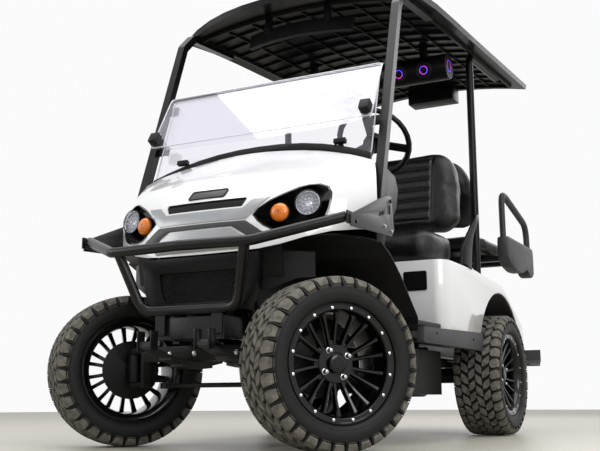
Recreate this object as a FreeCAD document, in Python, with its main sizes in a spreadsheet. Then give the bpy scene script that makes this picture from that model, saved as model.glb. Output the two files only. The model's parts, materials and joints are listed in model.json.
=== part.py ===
"""A four-seat electric golf cart, lifted, with its windscreen folded down.

Millimetres. The cart faces -Y, +X is its left (driver's) side and +Z is up. The origin lies on the
floor under the middle of the cart. Both front wheels are turned to the cart's right, as it parks.
"""
import FreeCAD, Part
import Sketcher
import math
import os
import sys

Vector = FreeCAD.Vector
Rotation = FreeCAD.Rotation
Placement = FreeCAD.Placement

DOC = FreeCAD.newDocument("GolfCart")

DIMENSIONS = {
    "wheelbase": 1680,
    "front_axle_ahead": 1113,
    "rear_track_half": 538,
    "tyre_radius": 292,
    "tyre_width": 222,
    "bead_radius": 176,
    "rim_lip_radius": 198,
    "rim_lip_thick": 8,
    "rim_barrel_wall": 8,
    "rim_depth": 196,
    "rim_spoke_pairs": 9,
    "spoke_width": 13,
    "wheel_facets": 36,
    "tread_pitches": 26,
    "tread_depth": 9,
    "tread_rib_half": 46,
    "lug_nut_circle": 51,
    "lug_nut_radius": 10,
    "rim_ring_inner": 160,
    "hub_radius": 62,
    "hub_face_out": 42,
    "spoke_thick": 14,
    "drum_radius": 112,
    "drum_depth": 62,
    "running_gap": 0.1,
    "seat_gap": 0.2,
    "kingpin_x": 381,
    "kingpin_radius": 17,
    "kingpin_top": 372,
    "kingpin_bottom": 218,
    "spindle_reach": 121,
    "spindle_radius": 16,
    "steer_rest": 36,
    "steer_arm_back": 120,
    "tie_rod_radius": 9,
    "axle_beam_size": 56,
    "axle_beam_z": 345,
    "rail_x": 255,
    "rail_width": 50,
    "rail_height": 76,
    "rail_z": 425,
    "nose_rail_x": 118,
    "hitch_bolt_radius": 5.5,
    "hitch_hole_x": 60,
    "hitch_hole_up": 15,
    "floor_z": 470,
    "floor_thick": 22,
    "cabin_half_width": 575,
    "pod_front_y": 263,
    "pod_half_width": 592,
    "pod_top_z": 765,
    "pod_wall": 5,
    "rear_axle_tube": 38,
    "arch_radius": 345,
    "rocker_low_z": 395,
    "rocker_front_z": 457,
    "rocker_high_z": 478,
    "panel_thick": 5,
    "glass_thick": 5,
    "screen_lean": 18.4,
    "screen_low_height": 444,
    "screen_high_height": 335,
    "strut_size": 34,
    "strut_x": 556,
    "strut_foot_z": 880,
    "strut_head_z": 1790,
    "rear_strut_x": 528,
    "rear_strut_y": 418,
    "rear_strut_size": 38,
    "roof_half_width": 592,
    "roof_front_y": 640,
    "roof_rear_y": 1390,
    "roof_front_z": 1892,
    "roof_rear_z": 2042,
    "roof_crown": 62,
    "roof_thick": 26,
    "seat_half_width": 555,
    "rear_seat_half_width": 518,
    "arm_frame_gap": 12,
    "arm_frame_width": 66,
    "guard_tube_radius": 19,
    "guard_bar_z": 700,
    "guard_front_y": 1388,
    "guard_corner_x": 289,
    "loop_tube_radius": 19,
    "headlamp_x": 386,
    "headlamp_y": 1150,
    "headlamp_z": 863,
    "headlamp_radius": 45,
    "turn_lamp_x": 293,
    "turn_lamp_y": 1190,
    "turn_lamp_z": 830,
    "turn_lamp_radius": 30,
    "steering_wheel_radius": 158,
    "steering_wheel_x": 320,
    "steering_wheel_y": -370,
    "steering_wheel_z": 1285,
    "column_radius": 24,
    "steering_lean": 48,
    "soundbar_radius": 66,
    "soundbar_half_length": 450,
    "soundbar_y": 330,
    "soundbar_z": 1843,
}


class Size(float):
    """A length or an angle that remembers the sheet expression it comes from."""

    def __new__(cls, value, text):
        size = float.__new__(cls, value)
        size.text = text
        return size

    def joined(self, sign, other, value, swap=False):
        other_text = other.text if isinstance(other, Size) else f"{other:.6g}"
        pair = (other_text, self.text) if swap else (self.text, other_text)
        return Size(value, f"({pair[0]} {sign} {pair[1]})")

    def __add__(self, other):
        return self.joined("+", other, float(self) + float(other))

    def __radd__(self, other):
        return self.joined("+", other, float(other) + float(self), swap=True)

    def __sub__(self, other):
        return self.joined("-", other, float(self) - float(other))

    def __rsub__(self, other):
        return self.joined("-", other, float(other) - float(self), swap=True)

    def __mul__(self, other):
        return self.joined("*", other, float(self) * float(other))

    def __rmul__(self, other):
        return self.joined("*", other, float(other) * float(self), swap=True)

    def __truediv__(self, other):
        return self.joined("/", other, float(self) / float(other))

    def __neg__(self):
        return Size(-float(self), f"(-{self.text})")


class Sizes:
    """The driving dimensions, one attribute for each row of the sheet."""

    def __init__(self, document, rows):
        sheet = document.addObject("Spreadsheet::Sheet", "Dimensions")
        for row, (alias, number) in enumerate(rows.items(), start=1):
            sheet.set(f"A{row}", alias)
            sheet.set(f"B{row}", str(number))
            sheet.setAlias(f"B{row}", alias)
            setattr(self, alias, Size(number, f"Dimensions.{alias}"))


D = Sizes(DOC, DIMENSIONS)
NODES = []


def sine(size):
    """The sine of an angle in degrees, still tied to the sheet."""
    return Size(math.sin(math.radians(size)), f"sin({size.text})")


def cosine(size):
    """The cosine of an angle in degrees, still tied to the sheet."""
    return Size(math.cos(math.radians(size)), f"cos({size.text})")


def bind(item, path, value):
    """Sets a property and ties it to the sheet where the value comes from there."""
    if "." not in path:
        setattr(item, path, float(value))
    if isinstance(value, Size):
        item.setExpression(path, value.text)


def place(item, x=0.0, y=0.0, z=0.0, axis=(0, 0, 1), angle=0.0):
    """Moves and turns a sub-part, tied to the sheet."""
    item.Placement = Placement(Vector(x, y, z), Rotation(Vector(*axis), float(angle)))
    for name, value in (("x", x), ("y", y), ("z", z)):
        bind(item, f"Placement.Base.{name}", value)
    bind(item, "Placement.Rotation.Angle", angle)
    return item


def node(item, label=None):
    """Counts an object as one of the cart's pieces."""
    if label:
        item.Label = label
    NODES.append(item)
    return item


def box(name, length, width, height, x, y, z):
    """A block from its lowest corner."""
    item = DOC.addObject("Part::Box", name)
    bind(item, "Length", length)
    bind(item, "Width", width)
    bind(item, "Height", height)
    return place(item, x, y, z)


TURNS = {"x": ((0, 1, 0), 90.0), "y": ((1, 0, 0), -90.0), "z": ((0, 0, 1), 0.0)}


def cylinder(name, radius, height, x, y, z, along="z"):
    """A round bar from the middle of its first end."""
    item = DOC.addObject("Part::Cylinder", name)
    bind(item, "Radius", radius)
    bind(item, "Height", height)
    axis, angle = TURNS[along]
    return place(item, x, y, z, axis, angle)


def fused(label, parts):
    item = DOC.addObject("Part::MultiFuse", label)
    item.Shapes = parts
    item.Refine = True
    return item


def cut(label, base, tool):
    item = DOC.addObject("Part::Cut", label)
    item.Base = base
    item.Tool = tool
    item.Refine = True
    return item


def group(label, parts):
    """Like pieces of one body that don't touch each other."""
    item = DOC.addObject("Part::Compound", label)
    item.Links = parts
    return item


def mirrored(name, source):
    """The same piece on the other side of the cart."""
    item = DOC.addObject("Part::Mirroring", name)
    item.Source = source
    item.Normal = Vector(1, 0, 0)
    return item


def pair(label, source):
    """A left piece and its mirror image as one piece."""
    return group(label, [source, mirrored(f"{label}_right", source)])


def feature(label, shape):
    item = DOC.addObject("Part::Feature", label)
    item.Shape = shape
    return item


def solid_pair(label, shape):
    """A left solid and its mirror image."""
    other = shape.mirror(Vector(0, 0, 0), Vector(1, 0, 0))
    return feature(label, Part.makeCompound([shape, other]))


def new_body(label):
    return DOC.addObject("PartDesign::Body", label)


def sketch(body, name, plane, corners, offset=0.0):
    """A closed outline whose corners are tied to the sheet, on a plane of the body."""
    item = body.newObject("Sketcher::SketchObject", name)
    origin = [part for part in body.Origin.OriginFeatures if part.Role == plane][0]
    item.AttachmentSupport = [(origin, "")]
    item.MapMode = "FlatFace"
    item.AttachmentOffset = Placement(Vector(0, 0, offset), Rotation())
    bind(item, "AttachmentOffset.Base.z", offset)
    count = len(corners)
    for index in range(count):
        start = Vector(corners[index][0], corners[index][1], 0)
        end_corner = corners[(index + 1) % count]
        item.addGeometry(Part.LineSegment(start, Vector(end_corner[0], end_corner[1], 0)), False)
    for index in range(count):
        item.addConstraint(Sketcher.Constraint("Coincident", index, 2, (index + 1) % count, 1))
    for index, corner in enumerate(corners):
        for kind, value in (("DistanceX", corner[0]), ("DistanceY", corner[1])):
            rule = item.addConstraint(Sketcher.Constraint(kind, index, 1, float(value)))
            if isinstance(value, Size):
                item.setExpression(f"Constraints[{rule}]", value.text)
    return item


def pad(body, name, profile, length):
    item = body.newObject("PartDesign::Pad", name)
    item.Profile = profile
    bind(item, "Length", length)
    profile.Visibility = False
    return item


def pocket(body, name, profile, depth, reverse=False):
    item = body.newObject("PartDesign::Pocket", name)
    item.Profile = profile
    item.Reversed = reverse
    bind(item, "Length", depth)
    return item


def plate(label, plane, corners, offset, thick):
    """A flat piece cut to an outline."""
    body = new_body(label)
    pad(body, f"{label}_pad", sketch(body, f"{label}_outline", plane, corners, offset), thick)
    return body


def rounded_wire(points, radius):
    """A closed wire through points with each corner rounded by an arc of one radius."""
    points = [Vector(*point) for point in points]
    count = len(points)
    arcs = []
    for index, point in enumerate(points):
        before = (points[index - 1] - point).normalize()
        after = (points[(index + 1) % count] - point).normalize()
        half_turn = before.getAngle(after) / 2
        reach = radius / math.tan(half_turn)
        bisector = (before + after).normalize()
        middle = point + bisector * (radius / math.sin(half_turn) - radius)
        arcs.append((point + before * reach, middle, point + after * reach))
    edges = []
    for index, (start, middle, end) in enumerate(arcs):
        edges.append(Part.Arc(start, middle, end).toShape())
        following = arcs[(index + 1) % count][0]
        if (following - end).Length > 0.01:
            edges.append(Part.makeLine(end, following))
    return Part.Wire(edges)


def rounded_prism(points, radius, direction):
    """A flat outline with rounded corners, given a depth."""
    return Part.Face(rounded_wire(points, radius)).extrude(Vector(*direction))


def bar(start, end, width, depth, across=(1, 0, 0)):
    """A straight box-section tube between two points, its width lying across."""
    start, end = Vector(*start), Vector(*end)
    along = (end - start).normalize()
    side = Vector(*across)
    side = (side - along * side.dot(along)).normalize()
    front = along.cross(side)
    corners = []
    for first, second in ((-1, -1), (1, -1), (1, 1), (-1, 1), (-1, -1)):
        corners.append(start + side * (first * width / 2) + front * (second * depth / 2))
    return Part.Face(Part.makePolygon(corners)).extrude(end - start)


def smooth_grid(rows, across, down):
    """An even net of points, read from a smooth surface through a coarser one."""
    surface = Part.BSplineSurface()
    surface.interpolate([[Vector(*point) for point in row] for row in rows])
    low_u, high_u, low_v, high_v = surface.bounds()
    grid = []
    for i in range(down + 1):
        u = low_u + (high_u - low_u) * i / down
        grid.append([surface.value(u, low_v + (high_v - low_v) * j / across) for j in range(across + 1)])
    return grid


def facet(*points):
    """One flat face through a loop of points."""
    return Part.Face(Part.makePolygon(list(points) + [points[0]]))


def closed_solid(faces):
    """A solid from the faces that close it."""
    solid = Part.makeSolid(Part.makeShell(faces))
    if solid.Volume < 0:
        solid.reverse()
    return solid


def net_triangles(net):
    """The flat facets of a net of points, its cells split the same way on both sides of the cart."""
    last_row, last_column = len(net) - 1, len(net[0]) - 1
    triangles = []
    for i in range(last_row):
        for j in range(last_column):
            a, b, c, d = net[i][j], net[i][j + 1], net[i + 1][j + 1], net[i + 1][j]
            triangles += [(a, b, c), (a, c, d)] if 2 * j < last_column else [(a, b, d), (b, c, d)]
    return triangles


def closed_between(outer, inner):
    """The solid between two nets of as many points, in flat facets."""
    last_row, last_column = len(outer) - 1, len(outer[0]) - 1
    faces = [facet(*triangle) for net in (outer, inner) for triangle in net_triangles(net)]
    border = [(0, j) for j in range(last_column)] + [(i, last_column) for i in range(last_row)]
    border += [(last_row, j) for j in range(last_column, 0, -1)] + [(i, 0) for i in range(last_row, 0, -1)]
    for (i, j), (k, m) in zip(border, border[1:] + border[:1]):
        faces += [facet(outer[i][j], outer[k][m], inner[k][m]), facet(outer[i][j], inner[k][m], inner[i][j])]
    return closed_solid(faces)


def on_circle(x, radius, angle):
    """A point at an angle round the X axis, from straight down."""
    return Vector(x, radius * math.sin(angle), -radius * math.cos(angle))


def turned(profile, facets):
    """A ring turned about X from a closed profile of x and radius, in flat facets."""
    faces = []
    step = 2 * math.pi / facets
    for (x, radius), (next_x, next_radius) in zip(profile, profile[1:] + profile[:1]):
        for index in range(facets):
            start, end = index * step, (index + 1) % facets * step
            faces.append(facet(on_circle(x, radius, start), on_circle(x, radius, end),
                               on_circle(next_x, next_radius, end), on_circle(next_x, next_radius, start)))
    return closed_solid(faces)


def wedge(profile, start, end):
    """The part of such a ring between two angles."""
    faces = []
    for (x, radius), (next_x, next_radius) in zip(profile, profile[1:] + profile[:1]):
        faces.append(facet(on_circle(x, radius, start), on_circle(x, radius, end),
                           on_circle(next_x, next_radius, end), on_circle(next_x, next_radius, start)))
    for angle in (start, end):
        faces.append(facet(*[on_circle(x, radius, angle) for x, radius in profile]))
    return closed_solid(faces)


def drum(name, radius, reach, x, y, z, facets):
    """A short many-sided drum that lies along X."""
    item = DOC.addObject("Part::Prism", name)
    item.Polygon = facets
    bind(item, "Circumradius", radius)
    bind(item, "Height", reach)
    return place(item, x, y, z, (0, 1, 0), 90.0)


def upright_prism(name, radius, height, x, y, z, sides):
    """A many-sided upright boss."""
    item = DOC.addObject("Part::Prism", name)
    item.Polygon = sides
    bind(item, "Circumradius", radius)
    bind(item, "Height", height)
    return place(item, x, y, z)


def bent_path(points, bend, steps):
    """The points of a path whose corners are rounded in a few steps."""
    points = [Vector(*point) for point in points]
    path = [points[0]]
    for before, point, after in zip(points, points[1:], points[2:]):
        back = (before - point).normalize()
        ahead = (after - point).normalize()
        half_turn = back.getAngle(ahead) / 2
        centre = point + (back + ahead).normalize() * (bend / math.sin(half_turn))
        first = point + back * (bend / math.tan(half_turn)) - centre
        last = point + ahead * (bend / math.tan(half_turn)) - centre
        whole = first.getAngle(last)
        for step in range(steps + 1):
            share = step / steps
            mixed = first * math.sin((1 - share) * whole) + last * math.sin(share * whole)
            path.append(centre + mixed * (1 / math.sin(whole)))
    path.append(points[-1])
    return path


def swept(path, section, across=(1, 0, 0)):
    """A section carried along a path of straight runs with mitred joints."""
    run = (path[1] - path[0]).normalize()
    side = Vector(*across)
    side = (side - run * side.dot(run)).normalize()
    front = run.cross(side)
    rings = [[path[0] + side * u + front * v for u, v in section]]
    for index in range(1, len(path)):
        run = (path[index] - path[index - 1]).normalize()
        mitre = Vector(run)
        if index < len(path) - 1:
            mitre = (run + (path[index + 1] - path[index]).normalize()).normalize()
        ring = []
        for point in rings[-1]:
            ring.append(point + run * ((path[index] - point).dot(mitre) / run.dot(mitre)))
        rings.append(ring)
    faces = [facet(*rings[0]), facet(*rings[-1])]
    for first, second in zip(rings, rings[1:]):
        for index in range(len(section)):
            following = (index + 1) % len(section)
            faces.append(facet(first[index], first[following], second[following], second[index]))
    return closed_solid(faces)


def round_section(radius, sides):
    """The corners of a many-sided section."""
    turns = [2 * math.pi * (index + 0.5) / sides for index in range(sides)]
    return [(radius * math.cos(turn), radius * math.sin(turn)) for turn in turns]


def box_section(width, depth):
    return [(-width / 2, -depth / 2), (width / 2, -depth / 2), (width / 2, depth / 2), (-width / 2, depth / 2)]


def closed_ring(centre, axis, radius, section_radius, facets, sides):
    """A many-sided ring, such as a steering wheel's rim."""
    turn = Rotation(Vector(1, 0, 0), axis)
    profile = [(u, radius + v) for u, v in round_section(section_radius, sides)]
    ring = turned(profile, facets)
    ring.Placement = Placement(centre, turn)
    return ring


def net_normals(rows):
    """The outward direction at each point of a net, from its neighbours."""
    last_row, last_column = len(rows) - 1, len(rows[0]) - 1
    normals = []
    for i, row in enumerate(rows):
        line = []
        for j in range(len(row)):
            down = rows[min(i + 1, last_row)][j] - rows[max(i - 1, 0)][j]
            across = row[min(j + 1, last_column)] - row[max(j - 1, 0)]
            line.append(across.cross(down).normalize())
        normals.append(line)
    return normals


def skin(grid, outside, inside):
    """A closed panel between two offsets of a net of points, outward positive."""
    normals = net_normals(grid)
    nets = []
    for lift in (outside, inside):
        nets.append([[point + normal * lift for point, normal in zip(*pair_of_rows)]
                     for pair_of_rows in zip(grid, normals)])
    return closed_between(*nets)


def across_cart(half_row):
    """A whole row from the points on the cart's left, the first on the middle line."""
    other = [(-x, y, z) for x, y, z in reversed(half_row[1:])]
    return other + list(half_row)


FRONT_AXLE_Y = -D.front_axle_ahead
REAR_AXLE_Y = D.wheelbase - D.front_axle_ahead
WHEEL_Z = D.tyre_radius


def wheel_centre(side, front):
    """The middle of a wheel; side is 1 on the cart's left and -1 on its right."""
    if not front:
        return side * D.rear_track_half, REAR_AXLE_Y
    return (side * (D.kingpin_x + D.spindle_reach * cosine(D.steer_rest)),
            FRONT_AXLE_Y - side * D.spindle_reach * sine(D.steer_rest))


def wheel_turn(side, front):
    """The angle about the upright that points a wheel's outer face outward."""
    facing = 0.0 if side > 0 else 180.0
    return facing - D.steer_rest if front else Size(facing, f"{facing:.6g}")


def place_wheel_part(item, side, front):
    x, y = wheel_centre(side, front)
    return place(item, x, y, WHEEL_Z, (0, 0, 1), wheel_turn(side, front))


def tyre_shape():
    """An all-terrain tyre: a middle rib, and shoulder lugs that alternate from side to side."""
    radius = float(D.tyre_radius)
    half = D.tyre_width / 2
    bead_half = D.rim_depth / 2 - D.rim_lip_thick
    floor = radius - D.tread_depth
    sectors = 2 * int(D.tread_pitches)
    step = 2 * math.pi / sectors
    bead = D.bead_radius / math.cos(step / 2)
    rib = (D.tread_rib_half, radius)
    claw = (half, radius - 40)
    wall = [claw, (bead_half, D.rim_lip_radius + 4), (bead_half, bead)]
    lug = [rib, (half - 13, radius - 2), claw]
    gap = [rib, (D.tread_rib_half, floor), (half - 17, floor - 2), claw]
    faces = []

    def strip(points, side, index):
        """Flat facets along a profile through one sector."""
        start, end = index * step, (index + 1) % sectors * step
        for (x, near), (next_x, far) in zip(points, points[1:]):
            faces.append(facet(on_circle(side * x, near, start), on_circle(side * x, near, end),
                               on_circle(side * next_x, far, end), on_circle(side * next_x, far, start)))

    for index in range(sectors):
        strip([(-D.tread_rib_half, radius), rib], 1, index)
        strip([(-bead_half, bead), (bead_half, bead)], 1, index)
        for side in (1, -1):
            strip(lug if (index % 2 == 0) == (side > 0) else gap, side, index)
            strip(wall, side, index)
            faces.append(facet(*[on_circle(side * x, r, index * step) for x, r in lug + gap[:0:-1][1:]]))
    return closed_solid(faces)


def tyre(label, side, front, shape):
    """One of the four tyres on its wheel."""
    return node(place_wheel_part(feature(label, shape), side, front))


def rim_shape():
    """A dished alloy wheel: lip ring, barrel, nine pairs of bars, hub, nuts and cap."""
    half = D.rim_depth / 2
    barrel = [
        (half, D.rim_ring_inner), (half, D.rim_lip_radius), (half - D.rim_lip_thick, D.rim_lip_radius),
        (half - D.rim_lip_thick, D.bead_radius), (D.rim_lip_thick - half, D.bead_radius),
        (D.rim_lip_thick - half, D.bead_radius - D.rim_barrel_wall),
        (half - 26, D.bead_radius - D.rim_barrel_wall),
    ]
    wheel = turned(barrel, int(D.wheel_facets))
    hub_back = D.hub_face_out - D.drum_depth
    parts = [x_prism(hub_back, D.drum_depth, D.hub_radius, 20)]
    ring_side = D.bead_radius - 7
    bar_side = [
        (D.hub_face_out - 2, D.hub_radius - 10), (half - 8, ring_side), (half - 8 - D.spoke_thick, ring_side),
        (D.hub_face_out - 2 - D.spoke_thick, D.hub_radius - 10),
    ]
    spread = math.radians(9.5)
    for pair_index in range(int(D.rim_spoke_pairs)):
        middle = 2 * math.pi * pair_index / D.rim_spoke_pairs
        for lean in (-spread, spread):
            aside = Vector(0, math.cos(middle + lean), math.sin(middle + lean)) * (D.spoke_width / 2)
            outline = [on_circle(x, r, middle + lean) - aside for x, r in bar_side]
            parts.append(facet(*outline).extrude(aside * 2))
    for index in range(4):
        nut = x_prism(D.hub_face_out - 3, 18, D.lug_nut_radius, 6)
        nut.translate(on_circle(0, D.lug_nut_circle, math.pi / 4 + index * math.pi / 2))
        parts.append(nut)
    wheel = wheel.fuse(parts)
    bore = Part.makeCylinder(D.spindle_radius + D.running_gap, 200, Vector(-100, 0, 0), Vector(1, 0, 0))
    cap = x_prism(D.hub_face_out - 2, 20, D.hub_radius * 0.52, 16)
    return wheel.cut(bore).fuse(cap).removeSplitter()


def x_prism(start, reach, radius, sides):
    """A many-sided bar along X about the axle."""
    loop = [on_circle(start, radius, 2 * math.pi * index / sides) for index in range(sides)]
    return facet(*loop).extrude(Vector(reach, 0, 0))


def rim(label, side, front, shape):
    """One of the four wheels under its tyre."""
    return node(place_wheel_part(feature(label, shape), side, front))


def along_x(name, radius, reach, side, z, start=0.0):
    """A round bar that reaches outward from the kingpin on either side."""
    first = start if side > 0 else -(start + reach)
    return cylinder(name, radius, reach, first, 0, z, "x")


def knuckle(label, side):
    """The steered upright: kingpin barrel, spindle, backing plate and steering arm."""
    barrel_low = D.kingpin_bottom + 26
    barrel_length = D.kingpin_top - D.kingpin_bottom - 52
    web_reach = D.spindle_reach * 0.42
    barrel = upright_prism(f"{label}_barrel", D.kingpin_radius + 9, barrel_length, 0, 0, barrel_low, 16)
    web = box(f"{label}_web", web_reach, 44, 44, 0 if side > 0 else -web_reach, -22, WHEEL_Z - 22)
    spindle = along_x(f"{label}_spindle", D.spindle_radius, D.spindle_reach + D.hub_face_out - 4, side, WHEEL_Z)
    backing = drum(f"{label}_backing", D.drum_radius, 10.0, web_reach if side > 0 else -(web_reach + 10), 0, WHEEL_Z,
                   24)
    arm = box(f"{label}_arm", 22, D.steer_arm_back + 11, 16, -11, 0, barrel_low)
    stud = cylinder(f"{label}_stud", D.tie_rod_radius - 2, 40, 0, D.steer_arm_back, barrel_low - 24)
    solid = fused(f"{label}_solid", [barrel, web, spindle, backing, arm, stud])
    hole = cylinder(f"{label}_bore", D.kingpin_radius + D.running_gap, barrel_length + 2, 0, 0, barrel_low - 1)
    item = cut(label, solid, hole)
    return node(place(item, side * D.kingpin_x, FRONT_AXLE_Y, 0.0, (0, 0, 1), -D.steer_rest))


def tie_rod(label):
    """The bar that joins the two steering arms, with an eye at each end."""
    low = D.kingpin_bottom + 2
    shift_x = D.steer_arm_back * sine(D.steer_rest)
    y = FRONT_AXLE_Y + D.steer_arm_back * cosine(D.steer_rest)
    rod = drum(f"{label}_rod", D.tie_rod_radius, 2 * D.kingpin_x - 24, shift_x - D.kingpin_x + 12, y, low + 11, 8)
    ends, holes = [], []
    for side, tag in ((1, "left"), (-1, "right")):
        x = side * D.kingpin_x + shift_x
        ends.append(upright_prism(f"{label}_eye_{tag}", D.tie_rod_radius + 7, 22, x, y, low, 12))
        holes.append(cylinder(f"{label}_hole_{tag}", D.tie_rod_radius - 2 + D.running_gap, 24, x, y, low - 1))
    solid = fused(f"{label}_solid", [rod] + ends)
    return node(cut(label, cut(f"{label}_half", solid, holes[0]), holes[1]))


def front_axle(label):
    """The lifted beam axle with a yoke and a kingpin at each end."""
    size = D.axle_beam_size
    yoke_back = D.kingpin_x - 62
    beam = box(f"{label}_beam", 2 * yoke_back + 20, size, size, -yoke_back - 10, FRONT_AXLE_Y - size / 2,
               D.axle_beam_z - size / 2)
    parts = [beam]
    for side, tag in ((1, "left"), (-1, "right")):
        first = yoke_back if side > 0 else -yoke_back - 14
        back_z = D.kingpin_bottom + 4
        parts.append(box(f"{label}_back_{tag}", 14, size, D.kingpin_top - back_z - 4, first,
                         FRONT_AXLE_Y - size / 2, back_z))
        for name, z in (("low", D.kingpin_bottom + 4), ("top", D.kingpin_top - 24)):
            ear_first = yoke_back if side > 0 else -D.kingpin_x
            parts.append(box(f"{label}_{name}_{tag}", D.kingpin_x - yoke_back, size - 4, 20, ear_first,
                             FRONT_AXLE_Y - size / 2 + 2, z))
            parts.append(upright_prism(f"{label}_{name}_round_{tag}", size / 2 - 2, 20, side * D.kingpin_x,
                                       FRONT_AXLE_Y, z, 16))
        parts.append(cylinder(f"{label}_pin_{tag}", D.kingpin_radius, D.kingpin_top - D.kingpin_bottom,
                              side * D.kingpin_x, FRONT_AXLE_Y, D.kingpin_bottom))
    return node(fused(label, parts))


def leaf_pack(x, y, z, length, width):
    """A bowed leaf spring: a long leaf, two shorter ones below it and an eye at each end."""
    bow = 46

    def level(share, drop):
        return Vector(x, y + share * length / 2, z - drop + bow * share * share)

    outline = [level(index / 4, 0) for index in range(-4, 5)]
    for low, high, drop in ((0.62, 1.0, 9), (0.36, 0.62, 18)):
        outline += [level(high, drop), level(low, drop)]
    outline += [level(share, 27) for share in (0.36, 0.12, -0.12, -0.36)]
    for low, high, drop in ((0.36, 0.62, 18), (0.62, 1.0, 9)):
        outline += [level(-low, drop), level(-high, drop)]
    pack = facet(*outline).extrude(Vector(width, 0, 0))
    eyes = []
    for end in (-1, 1):
        middle = Vector(x, y + end * length / 2, z + bow)
        eyes.append(swept([middle, middle + Vector(width, 0, 0)], round_section(15, 8), (0, 1, 0)))
    return pack.fuse(eyes).removeSplitter()


def leaf_springs(label):
    """Front and rear leaf packs, left and right."""
    shapes = []
    for side in (-1, 1):
        x_front = side * D.nose_rail_x - D.rail_width / 2
        x_rear = side * (D.rail_x + 62) - 22.5
        shapes.append(leaf_pack(x_front, FRONT_AXLE_Y, D.axle_beam_z - D.axle_beam_size / 2 - 1.3, 560, D.rail_width))
        shapes.append(leaf_pack(x_rear, REAR_AXLE_Y, WHEEL_Z + D.rear_axle_tube + 27, 760, 45))
    return node(feature(label, Part.makeCompound(shapes)))


def damper(start, end, body_radius=24, rod_radius=9):
    """A shock absorber: a body, a rod and an eye at each end."""
    start, end = Vector(*start), Vector(*end)
    along = (end - start).normalize()
    reach = (end - start).Length
    body = swept([start + along * 20, start + along * (20 + reach * 0.6)], round_section(body_radius, 10))
    rod = swept([start, end], round_section(rod_radius, 6))
    eyes = [swept([point - Vector(15, 0, 0), point + Vector(15, 0, 0)], round_section(15, 8), (0, 1, 0))
            for point in (start, end)]
    return body.fuse([rod] + eyes).removeSplitter()


def chassis_frame(label):
    """A ladder of box tube, narrow between the steered wheels."""
    low = D.rail_z - D.rail_height / 2
    parts = []
    for side, tag in ((1, "left"), (-1, "right")):
        x = side * D.rail_x - D.rail_width / 2
        parts.append(box(f"{label}_rail_{tag}", D.rail_width, 1900, D.rail_height, x, -720, low))
        x = side * D.nose_rail_x - D.rail_width / 2
        parts.append(box(f"{label}_nose_{tag}", D.rail_width, 600, D.rail_height, x, -1290, low))
    half = D.rail_x + D.rail_width / 2
    for index, y in enumerate((-740, -263, 300, 860, 1130)):
        parts.append(box(f"{label}_cross_{index}", 2 * half, 50, D.rail_height - 16, -half, y, low))
    top = D.rail_z + D.rail_height / 2
    for side, tag in ((1, "left"), (-1, "right")):
        first = D.nose_rail_x if side > 0 else -143
        parts.append(box(f"{label}_tower_{tag}", 143 - D.nose_rail_x, 40, 160, first, -1193, top))
        first = D.nose_rail_x if side > 0 else -150
        parts.append(box(f"{label}_tower_head_{tag}", 150 - D.nose_rail_x, 40, 38, first, -1193, top + 122))
        first = 240 if side > 0 else -275
        parts.append(box(f"{label}_rear_tower_{tag}", 35, 30, 152, first, REAR_AXLE_Y + 60, top))
        first = 240 if side > 0 else -355
        parts.append(box(f"{label}_rear_arm_{tag}", 115, 30, 30, first, REAR_AXLE_Y + 60, top + 122))
        x = side * D.rail_x - 20
        parts.append(box(f"{label}_drop_{tag}", 40, 40, 133, x, 1180, 330))
        parts.append(box(f"{label}_step_{tag}", 40, 240, 30 - D.seat_gap, x, 1200, 330))
    parts.append(box(f"{label}_front", 2 * D.nose_rail_x + D.rail_width, 40, D.rail_height,
                     -D.nose_rail_x - D.rail_width / 2, -1310, low))
    hitch = [cylinder(f"{label}_hitch_{index}", D.hitch_bolt_radius, 70, across * D.hitch_hole_x, 1120,
                      low + 30 + up * D.hitch_hole_up, "y")
             for index, (across, up) in enumerate(((1, 1), (-1, 1), (-1, -1), (1, -1)))]
    return node(cut(label, fused(f"{label}_welded", parts), fused(f"{label}_hitch_bolts", hitch)))


def rear_axle(label):
    """The live axle: tube, differential housing and the drive motor ahead of it."""
    half = D.rear_track_half - D.hub_face_out
    tube_x = drum(f"{label}_tube", D.rear_axle_tube, 2 * half - 40, 20 - half, REAR_AXLE_Y, WHEEL_Z, 12)
    shaft = cylinder(f"{label}_shaft", D.spindle_radius, 2 * (D.rear_track_half + D.hub_face_out - 4),
                     4 - D.rear_track_half - D.hub_face_out, REAR_AXLE_Y, WHEEL_Z, "x")
    case = drum(f"{label}_case", 105, 120, 60, REAR_AXLE_Y, WHEEL_Z, 16)
    motor = drum(f"{label}_motor", 98, 285, -225, REAR_AXLE_Y - 60, WHEEL_Z + 10, 18)
    plates = [drum(f"{label}_plate_{tag}", D.drum_radius, 10, x, REAR_AXLE_Y, WHEEL_Z, 24)
              for tag, x in (("left", half - 50), ("right", 40 - half))]
    plates += [box(f"{label}_lug_{tag}", 30, 60, 24, x, REAR_AXLE_Y, WHEEL_Z - 12)
               for tag, x in (("left", 355), ("right", -385))]
    return node(fused(label, [tube_x, shaft, case, motor] + plates))


def spring_hangers(label):
    """The plates that hold the spring eyes to the rails."""
    low = D.rail_z - D.rail_height / 2
    parts = []
    for side, tag in ((1, "left"), (-1, "right")):
        for end, name in ((-1, "front"), (1, "back")):
            y = FRONT_AXLE_Y + end * 280 - 20
            for face, where in ((-1, "in"), (1, "out")):
                x = side * D.nose_rail_x + face * (D.rail_width / 2 + 3) - 3
                parts.append(box(f"{label}_{name}_{where}_{tag}", 6, 40, 70, x, y, low - 45))
            x = side * (D.rail_x + D.rail_width / 2 + 7.25) - 7.25
            y = REAR_AXLE_Y + end * 380 - 20
            parts.append(box(f"{label}_rear_{name}_{tag}", 14.5, 40, 60, x, y, low - 10))
    return parts


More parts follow.
